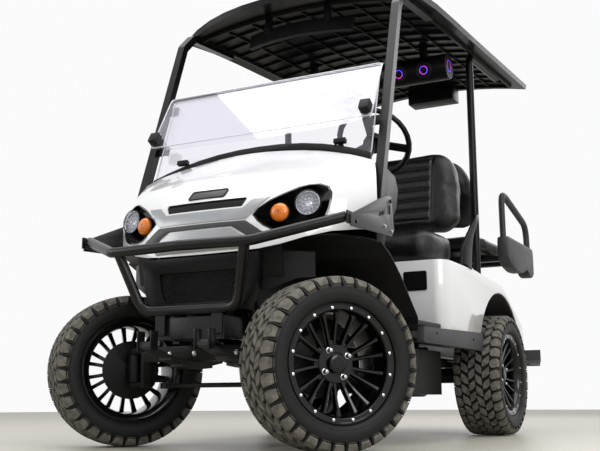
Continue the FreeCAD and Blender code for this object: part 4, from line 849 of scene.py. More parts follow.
@dataclass
class NodeDressing:
    """Gives every CAD node that stays its finish, its smooth faces and its eased edges."""

    frame: dict
    weld: float = 0.00005
    flat: float = 0.4
    crisp: float = 28.0
    angles: dict[str, float] = field(default_factory=lambda: {
        "brush_guard": 52.0, "steering_wheel": 50.0, "hip_restraints": 50.0, "rear_arm_frames": 50.0,
        "rear_struts": 40.0, "front_struts": 30.0, "roof_mirror": 25.0, "tie_rod": 40.0, "front_cowl": 32.0,
        "leaf_springs": 40.0, "dampers": 40.0,
    })
    edges: dict[str, Edge] = field(default_factory=lambda: {
        "strut_brackets": Edge.FINE, "rocker_panels": Edge.SOFT, "rear_body": Edge.SOFT,
        "nose_fascia": Edge.SOFT, "footplate": Edge.SOFT, "front_flares": Edge.SOFT, "nose_accent": Edge.FINE,
        "nose_trim": Edge.FINE, "chassis_frame": Edge.SOFT, "front_axle": Edge.SOFT, "floor_pan": Edge.FINE,
        "hip_restraints": Edge.SOFT, "rear_arm_frames": Edge.SOFT, "pedals": Edge.SOFT,
        "rear_seat_frame": Edge.SOFT, "battery_block": Edge.ROUND, "windshield_fittings": Edge.FINE,
        "tail_lamps": Edge.FINE, "knuckle_left": Edge.FINE, "knuckle_right": Edge.FINE,
        "dashboard": Edge.ROUND, "rear_roof_box": Edge.ROUND,
    })
    special: dict[str, Skin] = field(default_factory=lambda: {
        "lamp_pockets": Skin.POCKET_BLACK, "roof_mirror": Skin.DARK_PLASTIC, "nose_accent": Skin.CHEVRON_GREY,
        "roof": Skin.ROOF_BLACK, "rear_struts": Skin.ROOF_BLACK,
    })

    def build(self) -> None:
        """Dresses each node."""
        slots = {part["node"]: part["material_slot"] for part in self.frame["record"]["subparts"]}
        for name, node in self.frame["nodes"].items():
            finish = self.special.get(name, Skin.of_slot(slots[name]))
            for slot in node.material_slots:
                slot.material = finish.look
            edge = self.edges.get(name, Edge.NONE)
            if edge is not Edge.NONE:
                self._flatten(node)
                self._bevel(node, edge.value)
            smoother = self._smoother(self.angles.get(name, self.crisp))
            give(node.modifiers.new("smooth", "NODES"), node_group=smoother)
        LOG.info("%d CAD nodes dressed", len(self.frame["nodes"]))

    def _flatten(self, node: bpy.types.Object) -> None:
        """Welds the node's facets and joins those that lie in one plane."""
        give(node.modifiers.new("weld", "WELD"), merge_threshold=self.weld)
        plane = node.modifiers.new("plane", "DECIMATE")
        give(plane, decimate_type="DISSOLVE", angle_limit=math.radians(self.flat))

    @staticmethod
    def _bevel(node: bpy.types.Object, width: float) -> None:
        """Eases the node's sharp edges."""
        give(
            node.modifiers.new("eased", "BEVEL"), width=width, segments=2, limit_method="ANGLE",
            angle_limit=math.radians(40), miter_outer="MITER_ARC", use_clamp_overlap=True,
        )

    def _smoother(self, angle: float) -> bpy.types.NodeTree:
        """The node group that shades smooth below an angle, made once for each angle.

        Args:
            angle: the angle in degrees.

        Returns:
            The group.
        """
        name = f"smooth_{angle:g}"
        known = bpy.data.node_groups.get(name)
        if known is not None:
            return known
        group = bpy.data.node_groups.new(name, "GeometryNodeTree")
        for way in ("INPUT", "OUTPUT"):
            group.interface.new_socket("Geometry", in_out=way, socket_type="NodeSocketGeometry")
        graph = Graph(group)
        start = graph.node("NodeGroupInput")
        welded = graph.node("GeometryNodeMergeByDistance", None, {"Geometry": start, "Distance": self.weld})
        bare = graph.node("GeometryNodeRemoveAttribute", None, {"Geometry": welded, "Name": "custom_normal"})
        faces = graph.node("GeometryNodeSetShadeSmooth", {"domain": "FACE"}, {0: bare, "Shade Smooth": True})
        turn = graph.node("GeometryNodeInputMeshEdgeAngle")
        sharp = graph.node(
            "FunctionNodeCompare", {"data_type": "FLOAT", "operation": "GREATER_THAN"},
            {0: turn, 1: math.radians(angle)},
        )
        edges = graph.node(
            "GeometryNodeSetShadeSmooth", {"domain": "EDGE"},
            {0: faces, "Selection": sharp, "Shade Smooth": False},
        )
        graph.node("NodeGroupOutput", None, {0: edges})
        return group


# Wheels


@dataclass
class Tread:
    """An all-terrain tread: its section, and its blocks in metres across and shares of a pitch round."""

    pitches: int = 34
    crown: float = 0.2916
    groove: float = 0.0085
    flat: float = 0.0885
    drop: float = 0.0030
    bend: float = 0.0205
    run: float = 0.0215
    lean: float = math.radians(66)
    draft: float = 0.0011
    inset: float = 0.0010
    centre: Points = ((0.0020, 0.02, 0.64), (0.0100, 0.12, 0.80), (0.0220, 0.28, 0.97), (0.0315, 0.42, 1.04))
    inner: Points = ((0.0345, 0.93, 1.40), (0.0450, 0.72, 1.37), (0.0580, 0.52, 1.22), (0.0680, 0.40, 1.06))
    outer: Points = (
        (0.0715, 0.92, 1.36), (0.0800, 0.78, 1.52), (0.0930, 0.68, 1.50), (0.1040, 0.66, 1.46),
        (0.1150, 0.68, 1.42), (0.1240, 0.72, 1.36),
    )
    claw: Points = ((0.0940, 0.53, 0.64), (0.1040, 0.50, 0.62), (0.1180, 0.48, 0.62), (0.1330, 0.50, 0.60))
    dash: Points = ((0.1073, 0.2560), (0.1090, 0.2560), (0.1094, 0.2545), (0.1077, 0.2545))
    dash_shares: tuple[float, ...] = (0.74, 0.86, 0.98, 1.10, 1.22, 1.30)

    def point(self, across: float, depth: float) -> tuple[float, float]:
        """A point of the tyre's outer section.

        Args:
            across: the distance from the tread's centre along the skin.
            depth: how far under the tread's surface it lies.

        Returns:
            Its place along the axle and its radius.
        """
        if across <= self.flat:
            return across, self.crown - self.drop * (across / self.flat) ** 2 - depth
        turn = min((across - self.flat) / self.run, 1.0) * self.lean
        rest = max(0.0, across - self.flat - self.run)
        along = self.flat + self.bend * math.sin(turn) + rest * math.cos(self.lean)
        radius = self.crown - self.drop - self.bend * (1 - math.cos(turn)) - rest * math.sin(self.lean)
        return along - depth * math.sin(turn) * 0.8, radius - depth * math.cos(turn)

    def angle(self, share: float) -> float:
        """The angle round the tyre at a number of pitches."""
        return share * (TURN / self.pitches)


@dataclass
class RoadWheel:
    """One tyre on its dished wheel, in a frame whose X axis points out of the cart."""

    corner: str
    frame: dict
    tread: Tread = field(default_factory=Tread)
    wall: Points = (
        (0.1085, 0.252), (0.1104, 0.244), (0.1109, 0.236), (0.1106, 0.228), (0.1092, 0.2195),
        (0.1068, 0.2120), (0.1034, 0.2060), (0.0990, 0.2027), (0.0895, 0.2020), (0.0895, 0.178),
    )
    wall_foot: float = 0.002
    ribs: Points = ((0.1099, 0.2465, 0.0008), (0.1076, 0.2155, 0.0010))
    lip: float = 0.1975
    face: float = 0.0975
    bead: float = 0.0895
    barrel: float = 0.1665
    hub_face: float = 0.050
    rivets: int = 16
    rivet_circle: float = 0.1845
    bars: int = 9
    bar_foot: float = 0.050
    web: Points = ((0.046, 0.0125, 0.0475), (0.068, 0.0125, 0.0470), (0.0780, 0.0100, 0.0455))
    nuts: int = 4
    nut_circle: float = 0.0508
    nut: Points = (
        (0.0, 0.0110), (0.0020, 0.0110), (0.0030, 0.0086), (0.0150, 0.0082), (0.0185, 0.0066),
        (0.0200, 0.0010),
    )

    def __post_init__(self) -> None:
        """Finds the wheel's place from its joint."""
        joint = next(j for j in self.frame["joints"] if j["name"] == f"roll_{self.corner}")
        centre, axis = Vector(joint["pos_m"]), Vector(joint["axis"])
        self.where = axes(centre, axis if axis.x * centre.x > 0 else -axis)

    def build(self) -> None:
        """Makes the tyre and the wheel of this corner."""
        tyre = self._tyre().piece(f"tyre_dressed_{self.corner}", f"wheel_{self.corner}", 28.0, "tyre_rubber")
        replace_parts(tyre, f"tyre_{self.corner}")
        rim = self._rim().piece(f"rim_dressed_{self.corner}", f"wheel_{self.corner}", 32.0, "gloss_black")
        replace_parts(rim, f"rim_{self.corner}")

    def _tyre(self) -> Form:
        """The carcass, the tread's lugs and the marks and ribs on the sidewall."""
        form = Form([Skin.TYRE_RUBBER, Skin.TREAD_RUBBER])
        tread = self.tread
        section = [tread.point(step * 0.0125, tread.groove) for step in range(10)] + [*self.wall]
        mirrored = [(-along, radius) for along, radius in reversed(section[1:])]
        form.turn(section + mirrored, 136, closed=True, where=self.where)
        blocks = ((tread.centre, 1), (tread.inner, 1), (tread.outer, 1), (tread.claw, 0))
        for side, shift in ((1, 0.0), (-1, 0.5)):
            for pitch in range(tread.pitches):
                for stations, look in blocks:
                    self._lug(form, stations, pitch + shift, side, look)
                angles = [tread.angle(share + pitch + shift) for share in tread.dash_shares]
                form.rings([
                    [polar(side * along, radius, turn) for along, radius in tread.dash] for turn in angles
                ], 1, where=self.where)
            for base, radius, rise in self.ribs:
                foot, top = side * (base - self.wall_foot), side * (base + rise)
                form.turn([
                    (foot, radius + 0.0022), (top, radius + 0.0008), (top, radius - 0.0008),
                    (foot, radius - 0.0022),
                ], 96, closed=True, where=self.where)
        return form

    def _lug(self, form: Form, stations: Points, pitch: float, side: int, look: int) -> None:
        """One block of the tread, with a little draft on its walls.

        Args:
            form: where the block goes.
            stations: its outline, station by station.
            pitch: where it stands round the tyre.
            side: 1 for the outer half of the tread and -1 for the inner.
            look: the place of the finish.
        """
        tread = self.tread
        draft = tread.draft / tread.crown
        rings = []
        for index, (across, low, high) in enumerate(stations):
            inset = tread.inset * ((index == 0) - (index == len(stations) - 1))
            first, last = tread.angle(low + pitch), tread.angle(high + pitch)
            foot, top = tread.point(across, tread.groove + 0.002), tread.point(across + inset, 0.0)
            rings.append([
                polar(side * foot[0], foot[1], first), polar(side * top[0], top[1], first + draft),
                polar(side * top[0], top[1], last - draft), polar(side * foot[0], foot[1], last),
            ])
        form.rings(rings, look, where=self.where)

    def _rim(self) -> Form:
        """The barrel and ring, the split bars, the hub with its nuts and cap, and the rivets."""
        form = Form([Skin.GLOSS_BLACK, Skin.CHROME, Skin.ZINC])
        form.turn([
            (self.bead + 0.0003, self.lip), (self.face - 0.001, self.lip), (self.face, self.lip - 0.0015),
            (self.face - 0.0003, 0.1925), (self.face - 0.0022, 0.1905), (self.face - 0.0026, 0.1790),
            (self.face - 0.0045, 0.1765), (self.face - 0.0120, 0.1735), (self.face - 0.0240, 0.1690),
            (0.0450, self.barrel), (-0.0700, self.barrel - 0.002), (-0.0880, 0.1690), (-0.0975, 0.1880),
            (-0.0975, self.lip - 0.0015), (-0.0965, self.lip), (-self.bead, self.lip), (-self.bead, 0.1765),
            (0.0600, 0.1765), (self.bead + 0.0003, 0.1780),
        ], 128, closed=True, where=self.where)
        for middle in turns(self.bars, 0.5):
            for lean in (-1, 1):
                self._bar(form, middle, lean)
            rings = []
            for reach, wide, front in self.web:
                outline = ((-wide, 0.020), (-wide, 0.002), (wide, 0.002), (wide, 0.020))
                rings.append(self._across(middle, reach, front, outline))
            form.rings(rings, where=self.where)
        self._hub(form)
        for turn in turns(self.rivets, 0.5):
            place = polar(self.face - 0.0024, self.rivet_circle, turn)
            form.bolt(self.where @ Matrix.Translation(place), 0.0040, 0.0040, 1, 12)
        return form

    @staticmethod
    def _across(turn: float, reach: float, front: float, outline: Points) -> list[Vector]:
        """A section of a spoke.

        Args:
            turn: the spoke's angle.
            reach: the section's radius.
            front: where its front lies along the axle.
            outline: its points, as offsets across the spoke and back from its front.

        Returns:
            The points.
        """
        along = Vector((0, math.cos(turn), math.sin(turn)))
        across = Vector((0, -math.sin(turn), math.cos(turn)))
        return [along * reach + across * offset + Vector((front - back, 0, 0)) for offset, back in outline]

    def _bar(self, form: Form, middle: float, lean: int) -> None:
        """One bar of a split spoke: it rises from the hub to the ring in a hollow curve."""
        rings = []
        for step in range(9):
            share = step / 8
            reach = self.bar_foot + (self.barrel + 0.002 - self.bar_foot) * share
            front = self.hub_face - 0.004 + 0.0285 * share**1.6
            wide = 0.0068 - 0.0012 * math.sin(math.pi * share) + 0.0014 * share**6
            deep = 0.024 - 0.006 * share
            half = [(wide * 0.62, 0.0), (wide * 1.1, 0.0045), (wide * 1.25, deep)]
            outline = [(-offset, back) for offset, back in reversed(half)] + half
            rings.append(self._across(middle + lean * math.radians(7.2 + 2.2 * share), reach, front, outline))
        form.rings(rings, where=self.where)

    def _hub(self, form: Form) -> None:
        """The hub's disc, the cap with its ring, and the nuts."""
        face = self.hub_face
        form.turn([
            (-0.018, 0.020), (-0.018, 0.0600), (face - 0.008, 0.0640), (face - 0.0015, 0.0640),
            (face, 0.0625), (face + 0.0005, 0.0380), (face - 0.004, 0.0365), (face - 0.004, 0.020),
        ], 64, closed=True, where=self.where)
        form.turn([
            (face - 0.010, 0.0320), (face + 0.010, 0.0320), (face + 0.0150, 0.0305), (face + 0.0175, 0.0270),
            (face + 0.0182, 0.0200), (face + 0.0182, 0.0010),
        ], 48, where=self.where)
        form.turn([
            (face + 0.0183, 0.0172), (face + 0.0192, 0.0168), (face + 0.0192, 0.0150),
            (face + 0.0183, 0.0146),
        ], 48, closed=True, where=self.where)
        for turn in turns(self.nuts, 0.35):
            spot = self.where @ Matrix.Translation(polar(face - 0.001, self.nut_circle, turn))
            form.turn(self.nut, 6, 2, where=spot)


# Cushions


CLOTH = {
    "use_pressure": True, "uniform_pressure_force": 4.0, "quality": 4, "mass": 0.3, "tension_stiffness": 12,
    "compression_stiffness": 12, "shear_stiffness": 5, "bending_stiffness": 4.0,
}


@dataclass
class Cushion:
    """A padded seat or back: a cross-section run across the cart, blown up by cloth, then sewn."""

    name: str
    node: str
    section: Sequence[tuple[float, float]]
    half: float
    face: Callable[[Vector], float]
    run: Callable[[Vector], float]
    inserts: Sequence[tuple[float, float]]
    span: tuple[float, float]
    pleats: int
    free_edge: tuple[float, float, float] = (0.0, 0.0, 1.0)
    corner: float = 0.10
    bend: float = 0.045
    cap: float = 0.016
    frames: int = 16
    voxel: float = 0.0095
    shrink: float = 0.011
    roll: float = 0.011

    def build(self) -> None:
        made = self._shell()
        self._inflate(made)
        self._smooth_over(made)
        self._sew(made)
        self._dress(made)
        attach(made, "chassis")
        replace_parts(made, self.node)
        LOG.info("%s: %d faces", self.name, len(made.data.polygons))

    def _shell(self) -> bpy.types.Object:
        """The cushion's form before it is filled: its free corners are round and its ends are thin."""
        ys, zs = zip(*self.section)
        middle = Vector((0, sum(ys), sum(zs))) / len(ys)
        loop = loop_of([(0, y, z) for y, z in self.section], self.bend, 5)
        edge = Vector(self.free_edge)
        reaches = [point.dot(edge) for point in loop]
        low, high = min(reaches), max(reaches)
        width = self.half - self.shrink
        rings = []
        for index in range(-24, 25):
            share = math.copysign(abs(index / 24) ** 0.6, index)
            over = abs(share) * width - (width - self.corner)
            drop = self.corner - math.sqrt(max(self.corner**2 - over**2, 0.0)) if over > 0 else 0.0
            size = 1.0 - 0.24 * max(0.0, (abs(share) - 0.84) / 0.16) ** 2.2
            rings.append([
                Vector((width * share, 0, 0)) + middle
                + (point - middle) * size * (1 - self.shrink / max((point - middle).length, 0.05))
                - edge * drop * (reach - low) / (high - low)
                for point, reach in zip(loop, reaches)
            ])
        form = Form([Skin.SEAT_VINYL])
        form.rings(rings)
        made = placed(self.name, form.mesh(self.name))
        self._apply(made, "REMESH", mode="VOXEL", voxel_size=self.voxel, use_smooth_shade=True)
        return made

    @staticmethod
    def _bake(made: bpy.types.Object) -> None:
        """Makes what the modifiers give the cushion's own mesh."""
        shown = made.evaluated_get(bpy.context.evaluated_depsgraph_get())
        mesh = bpy.data.meshes.new_from_object(shown)
        made.modifiers.clear()
        old = made.data
        made.data = mesh
        bpy.data.meshes.remove(old)

    def _apply(self, made: bpy.types.Object, kind: str, **settings: object) -> None:
        """Adds a modifier and makes its result the mesh."""
        give(made.modifiers.new("step", kind), **settings)
        self._bake(made)

    def _inflate(self, made: bpy.types.Object) -> None:
        """Blows the cushion up with cloth and holds each point within the cap."""
        rest = [vertex.co.copy() for vertex in made.data.vertices]
        settings = made.modifiers.new("cloth", "CLOTH").settings
        give(settings, **CLOTH)
        settings.effector_weights.gravity = 0.0
        scene = bpy.context.scene
        for step in range(1, self.frames + 1):
            scene.frame_set(step)
        self._bake(made)
        for vertex, start in zip(made.data.vertices, rest):
            shift = vertex.co - start
            if shift.length > self.cap:
                vertex.co = start + shift.normalized() * self.cap
        scene.frame_set(1)

    def _smooth_over(self, made: bpy.types.Object) -> None:
        """Evens the skin and adds one subdivision."""
        self._apply(made, "SMOOTH", factor=0.5, iterations=14)
        self._apply(made, "SUBSURF", levels=1, render_levels=1)

    def _sew(self, made: bpy.types.Object) -> None:
        """Presses the seams and the sewn channels into the skin."""
        mesh = made.data
        normals = [vertex.normal.copy() for vertex in mesh.vertices]
        for vertex, normal in zip(mesh.vertices, normals):
            facing = self.face(normal)
            if facing > 0.15:
                vertex.co -= normal * self._depth(vertex.co) * min(1.0, facing * 1.6)
        mesh.update()

    def _depth(self, point: Vector) -> float:
        """How far the stitching pulls a point in.

        Args:
            point: a point on the skin.

        Returns:
            The depth in metres.
        """
        along = self.run(point)
        low, high = self.span
        depth = 0.0
        for first, last in self.inserts:
            inside = min(point.x - first, last - point.x, along - low, high - along)
            depth = max(depth, 0.009 * math.exp(-((inside / 0.0065) ** 2)))
            if inside > 0:
                phase = (along - low) / (high - low) * self.pleats
                swell = abs(2 * (phase - math.floor(phase)) - 1)
                edge = min(1.0, inside / 0.014)
                depth = max(depth, (self.roll * (1 - math.sqrt(max(0.0, 1 - swell**2.4))) + 0.001) * edge)
        return depth

    @staticmethod
    def _dress(made: bpy.types.Object) -> None:
        """Gives the skin its finish and smooth shading."""
        made.data.materials.clear()
        made.data.materials.append(Skin.SEAT_VINYL.look)
        made.data.polygons.foreach_set("material_index", [0] * len(made.data.polygons))
        made.data.shade_smooth()


class Upholstery:
    """The four cushions."""

    def build(self) -> None:
        """Makes each cushion."""
        half = 0.555
        pairs = ((-0.408, -0.050), (0.050, 0.408))
        rear_half = 0.518
        rear_pairs = ((-0.385, -0.045), (0.045, 0.385))
        Cushion(
            "cushion_front_seat", "seat_bottom",
            [(-0.285, 0.768), (-0.300, 0.850), (-0.275, 0.903), (0.040, 0.910), (0.058, 0.768)], half,
            lambda normal: normal.z, lambda point: point.y, pairs, (-0.225, 0.020), 4,
            free_edge=(0.0, -1.0, 0.0), corner=0.075, bend=0.055,
        ).build()
        Cushion(
            "cushion_front_back", "seat_back",
            [(0.095, 0.925), (0.190, 0.925), (0.262, 1.372), (0.205, 1.392), (0.150, 1.340)], half,
            lambda normal: -normal.y, lambda point: point.z, pairs, (0.960, 1.325), 7,
            corner=0.15, bend=0.055, cap=0.022, shrink=0.012,
        ).build()
        Cushion(
            "cushion_rear_seat", "rear_seat_bottom",
            [(0.600, 0.940), (0.592, 1.008), (1.058, 1.014), (1.088, 0.983), (1.078, 0.940)], rear_half,
            lambda normal: normal.z, lambda point: point.y, rear_pairs, (0.660, 1.000), 5,
            free_edge=(0.0, 1.0, 0.0), corner=0.07, bend=0.03, cap=0.010, shrink=0.008, roll=0.008,
        ).build()
        Cushion(
            "cushion_rear_back", "rear_seat_back",
            [(0.530, 1.030), (0.595, 1.020), (0.535, 1.396), (0.482, 1.420), (0.446, 1.380)], rear_half,
            lambda normal: normal.y, lambda point: point.z, rear_pairs, (1.060, 1.350), 7,
            corner=0.16, bend=0.05, cap=0.014, shrink=0.010,
        ).build()


# Lamps


@dataclass
class Lamps:
    """Headlamps with their rings of light cells, and the amber turn lamps."""

    head: tuple[float, float, float] = (0.386, -1.150, 0.863)
    head_radius: float = 0.0465
    head_cells: Points = ((14, 0.60, 0.88, 0.78), (9, 0.30, 0.55, 0.76))
    turn: tuple[float, float, float] = (0.293, -1.188, 0.830)
    turn_radius: float = 0.034
    turn_facets: int = 40
    turn_dome: float = 0.022
    turn_prism: float = 0.0016

    def build(self) -> None:
        """Makes the lamps on both sides."""
        heads = Form([Skin.DARK_PLASTIC, Skin.CHROME, Skin.LED_CELL, Skin.LAMP_BOWL])
        glasses = Form([Skin.LAMP_LENS])
        ambers = Form([Skin.AMBER_LENS, Skin.DARK_PLASTIC])
        for side in (1, -1):
            out = Vector((side * 0.22, -1.0, 0.10))
            self._head(heads, glasses, axes((side * self.head[0], self.head[1], self.head[2]), out))
            out = Vector((side * 0.18, -1.0, 0.06))
            self._turn(ambers, axes((side * self.turn[0], self.turn[1], self.turn[2]), out))
        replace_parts(heads.piece("headlamp_units", "chassis", 30.0, "lamp_lens"), "headlamps")
        glasses.piece("headlamp_glass", "chassis", 30.0, "lamp_lens")
        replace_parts(ambers.piece("turn_lamp_units", "chassis", 25.0, "amber_lens"), "turn_lamps")

    def _head(self, form: Form, glass: Form, where: Matrix) -> None:
        """A bezel, a bowl, a centre cell and a ring of petals behind a domed glass."""
        radius = self.head_radius
        form.turn([
            (-0.040, radius - 0.004), (-0.002, radius + 0.003), (0.004, radius + 0.003),
            (0.005, radius + 0.0005), (0.001, radius - 0.002), (-0.036, radius - 0.008),
        ], 48, closed=True, where=where)
        form.turn([
            (-0.002, radius - 0.002), (-0.012, radius - 0.005), (-0.024, radius * 0.60), (-0.027, 0.001),
        ], 48, 3, where=where, capped=False)
        form.turn([
            (-0.0035, radius - 0.0022), (0.0005, radius - 0.0022), (0.0005, radius - 0.0050),
            (-0.0035, radius - 0.0056),
        ], 60, 1, closed=True, where=where)
        for count, near, far, share in self.head_cells:
            for turn in turns(count):
                spot = where @ Matrix.Rotation(turn, 4, "X")
                self._cell(form, spot, radius * near, radius * far, math.pi / count * share)
        form.turn([
            (-0.020, radius * 0.23), (-0.012, radius * 0.24), (-0.011, radius * 0.19),
            (-0.016, radius * 0.10), (-0.013, 0.0005),
        ], 20, 2, where=where)
        glass.turn([
            (0.0005, radius - 0.0012), (0.0065, radius * 0.95), (0.0115, radius * 0.80),
            (0.0148, radius * 0.58), (0.0168, radius * 0.30), (0.0174, 0.0006),
        ], 48, where=where, capped=False)

    @staticmethod
    def _cell(form: Form, where: Matrix, near: float, far: float, half: float) -> None:
        """One light cell: a hollow wedge whose walls catch the light, with a bright bead in it.

        Args:
            form: where the cell goes.
            where: the lamp's place, turned to the cell.
            near: its inner radius.
            far: its outer radius.
            half: half the angle that it takes.
        """
        corners = [(near, -half), (far, -half), (far, half), (near, half)]
        middle = (near + far) / 2
        rings = []
        for level, size in ((-0.024, 1.0), (-0.010, 1.0), (-0.0095, 0.9), (-0.0175, 0.42), (-0.0140, 0.20)):
            rings.append([
                polar(level, middle + (radius - middle) * size, turn * size) for radius, turn in corners
            ])
        form.rings(rings, 2, where=where)

    def _turn(self, form: Form, where: Matrix) -> None:
        """An amber dome with a grid of small prisms, in a dark ring."""
        radius, facets = self.turn_radius, self.turn_facets
        rings = []
        for step in range(9):
            slope = step / 8 * math.pi / 2
            level = self.turn_dome * math.cos(slope) ** 0.8
            reach = max(radius * math.sin(slope), 0.0006)
            rings.append([
                polar(level + self.turn_prism * ((step + corner) % 2) - 0.002, reach, turn)
                for corner, turn in enumerate(turns(facets))
            ])
        rings.append([Vector((-0.012, point.y, point.z)) for point in rings[-1]])
        form.rings(rings, where=where)
        form.turn([
            (-0.010, radius + 0.0002), (0.001, radius + 0.0002), (0.002, radius + 0.0015),
            (0.001, radius + 0.003), (-0.012, radius + 0.003),
        ], facets, 1, closed=True, where=where)


# Trim and small parts


@dataclass
class SoundRings:
    """The lit rings, cones and end caps of the soundbar."""

    rings_x: tuple[float, ...] = (-0.335, -0.20, 0.20, 0.335)
    radius: float = 0.020
    height: float = 1.843
    ahead: float = 0.330
    bar: float = 0.066
    end_x: float = 0.4495
    end_radius: float = 0.030
    cap_x: float = 0.44
    cap: Points = (
        (0.0, 0.060), (0.0098, 0.060), (0.0105, 0.056), (0.006, 0.050), (0.004, 0.012), (0.008, 0.0004),
    )

    def build(self) -> None:
        """Makes the rings on the bar's front and round its ends."""
        lights = Form([Skin.GLOW_BLUE])
        cones = Form([Skin.BLACK_RUBBER, Skin.DARK_PLASTIC])
        out = Vector((0, -1.0, -0.35)).normalized()
        for x in self.rings_x:
            where = axes(Vector((x, self.ahead, self.height)) + out * (self.bar - 0.004), out)
            lights.tube([where @ point for point in circle(32, 0.0066, self.radius)], 0.0018, 8, closed=True)
            cones.turn([
                (-0.004, 0.043), (0.0070, 0.043), (0.0086, 0.040), (0.0066, 0.036), (0.0060, 0.031),
                (0.0040, 0.029), (-0.004, 0.010), (-0.001, 0.006), (0.0005, 0.0004),
            ], 40, where=where)
        for end in (-1, 1):
            middle = Vector((end * self.end_x, self.ahead, self.height))
            loop = [middle + point for point in circle(40, 0.0, self.end_radius)]
            lights.tube(loop, 0.0014, 6, closed=True)
            where = axes((end * self.cap_x, self.ahead, self.height), Vector((end, 0, 0)))
            cones.turn(self.cap, 40, 1, where=where)
        lights.piece("soundbar_lights", "chassis", 40.0, "dark_plastic")
        cones.piece("soundbar_cones", "chassis", 30.0, "dark_plastic")


@dataclass
class RoofRibs:
    """The grid of stiffening ribs and the raised rim under the roof."""

    frame: dict
    columns: int = 8
    rows: int = 15
    depth: float = 0.011
    thick: float = 0.0035
    share: float = 0.875
    front_gap: float = 0.16
    back_gap: float = 0.10

    def build(self) -> None:
        """Lays the ribs along the roof's underside."""
        touch = Touch(self.frame["nodes"]["roof"])
        low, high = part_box("roof")
        form = Form([Skin.DARK_PLASTIC])
        half = high.x * self.share
        start, end = low.y + self.front_gap, high.y - self.back_gap

        def under(x: float, y: float) -> Vector | None:
            """The point of the underside above a place in plan."""
            found = touch.hit((x, y, low.z - 0.3), (0, 0, 1))
            return found[0] if found else None

        for index in range(self.columns + 1):
            x = -half + 2 * half * index / self.columns
            line = [under(x, start + (end - start) * step / 24) for step in range(25)]
            self._rib(form, [point for point in line if point], Vector((1, 0, 0)), index in (0, self.columns))
        for index in range(self.rows + 1):
            y = start + (end - start) * index / self.rows
            line = [under(-half + 2 * half * step / 16, y) for step in range(17)]
            self._rib(form, [point for point in line if point], Vector((0, 1, 0)), index in (0, self.rows))
        form.piece("roof_ribs", "chassis", 40.0, "dark_plastic")

    def _rib(self, form: Form, line: Sequence[Vector], across: Vector, rim: bool) -> None:
        """One rib: a thin strip that hangs from the underside."""
        wide = self.thick * (2.4 if rim else 1.0)
        deep = self.depth * (1.5 if rim else 1.0)
        top, bottom = Vector((0, 0, 0.002)), Vector((0, 0, -deep))
        form.rings([
            [
                point - across * wide + top, point - across * wide * 0.6 + bottom,
                point + across * wide * 0.6 + bottom, point + across * wide + top,
            ]
            for point in line
        ])


@dataclass
class PaneEdges:
    """The bright cut edges of the two screen panes."""

    frame: dict

    def build(self) -> None:
        """Runs a thin bead round each pane."""
        form = Form([Skin.PANE_EDGE])
        for name in ("windshield_lower", "windshield_upper"):
            node = self.frame["nodes"][name]
            points = [vertex.co.copy() for vertex in node.data.vertices]
            middle = middle_of(points)
            loop = []
            for across, up in ((-1, -1), (-1, 1), (1, 1), (1, -1)):
                corner = max(points, key=lambda p: across * (p.x - middle.x) + up * (p.z - middle.z) * 1.6)
                loop.append(corner.lerp(middle, 0.004))
            form.tube(loop_of(loop, 0.02, 4), 0.0030, 6, closed=True)
        form.piece("pane_edges", "chassis", 50.0, "clear_screen")


@dataclass
class Fasteners:
    """Bolt heads where the real cart has them."""

    frame: dict

    def build(self) -> None:
        """Places the heads on the surfaces that carry them."""
        form = Form([Skin.ZINC, Skin.BLACK_STEEL])
        nodes = self.frame["nodes"]
        spots = (
            ("strut_brackets", (0.7, -1.165, 0.775), (-1, 0, 0), 0.0065, 1),
            ("strut_brackets", (0.7, -0.905, 0.800), (-1, 0, 0), 0.0065, 0),
            ("strut_brackets", (0.7, -0.840, 0.790), (-1, 0, 0), 0.0065, 0),
            ("strut_brackets", (0.7, -0.845, 0.905), (-1, 0, 0), 0.0065, 1),
            ("rocker_panels", (0.7, -0.40, 0.440), (-1, 0, 0), 0.005, 1),
            ("rocker_panels", (0.7, 0.10, 0.440), (-1, 0, 0), 0.005, 1),
            ("front_axle", (0.20, -1.6, 0.345), (0, 1, 0), 0.008, 0),
            ("front_axle", (0.09, -1.6, 0.345), (0, 1, 0), 0.008, 0),
            ("footplate", (0.45, 1.30, 0.60), (0, 0, -1), 0.006, 0),
            ("footplate", (0.20, 1.30, 0.60), (0, 0, -1), 0.006, 0),
            ("front_flares", (0.52, -1.02, 0.3), (0, 0, 1), 0.006, 1),
        )
        for name, start, way, size, look in spots:
            touch = Touch(nodes[name])
            for side in (1, -1):
                found = touch.hit((side * start[0], start[1], start[2]), (side * way[0], way[1], way[2]))
                if found:
                    form.bolt(axes(found[0], found[1], Vector((0, 0.3, 1))), size, size * 0.8, look)
        form.piece("fasteners", "chassis", 30.0)


@dataclass
class FasciaMesh:
    """The woven guard in the recess of the lower nose."""

    frame: dict
    half: float = 0.150
    low: float = 0.520
    high: float = 0.622
    pitch: float = 0.0115
    lean: float = 0.9
    spare: int = 12

    def build(self) -> None:
        """Weaves slanted bars over the recess's floor."""
        touch = Touch(self.frame["nodes"]["nose_fascia"])
        form = Form([Skin.DARK_PLASTIC])
        steps = int(2 * self.half / self.pitch) + self.spare
        for lean in (-1, 1):
            for index in range(-self.spare, steps):
                x = -self.half + index * self.pitch
                line = []
                for step in range(5):
                    z = self.low + (self.high - self.low) * step / 4
                    place = x + lean * (z - self.low) * self.lean
                    if abs(place) <= self.half:
                        found = touch.hit((place, -1.7, z), (0, 1, 0))
                        if found:
                            line.append(found[0] - Vector((0, 0.002 + 0.001 * lean, 0)))
                if len(line) > 1:
                    form.tube(line, 0.0016, 4)
        form.piece("fascia_mesh", "chassis", 60.0, "dark_plastic")


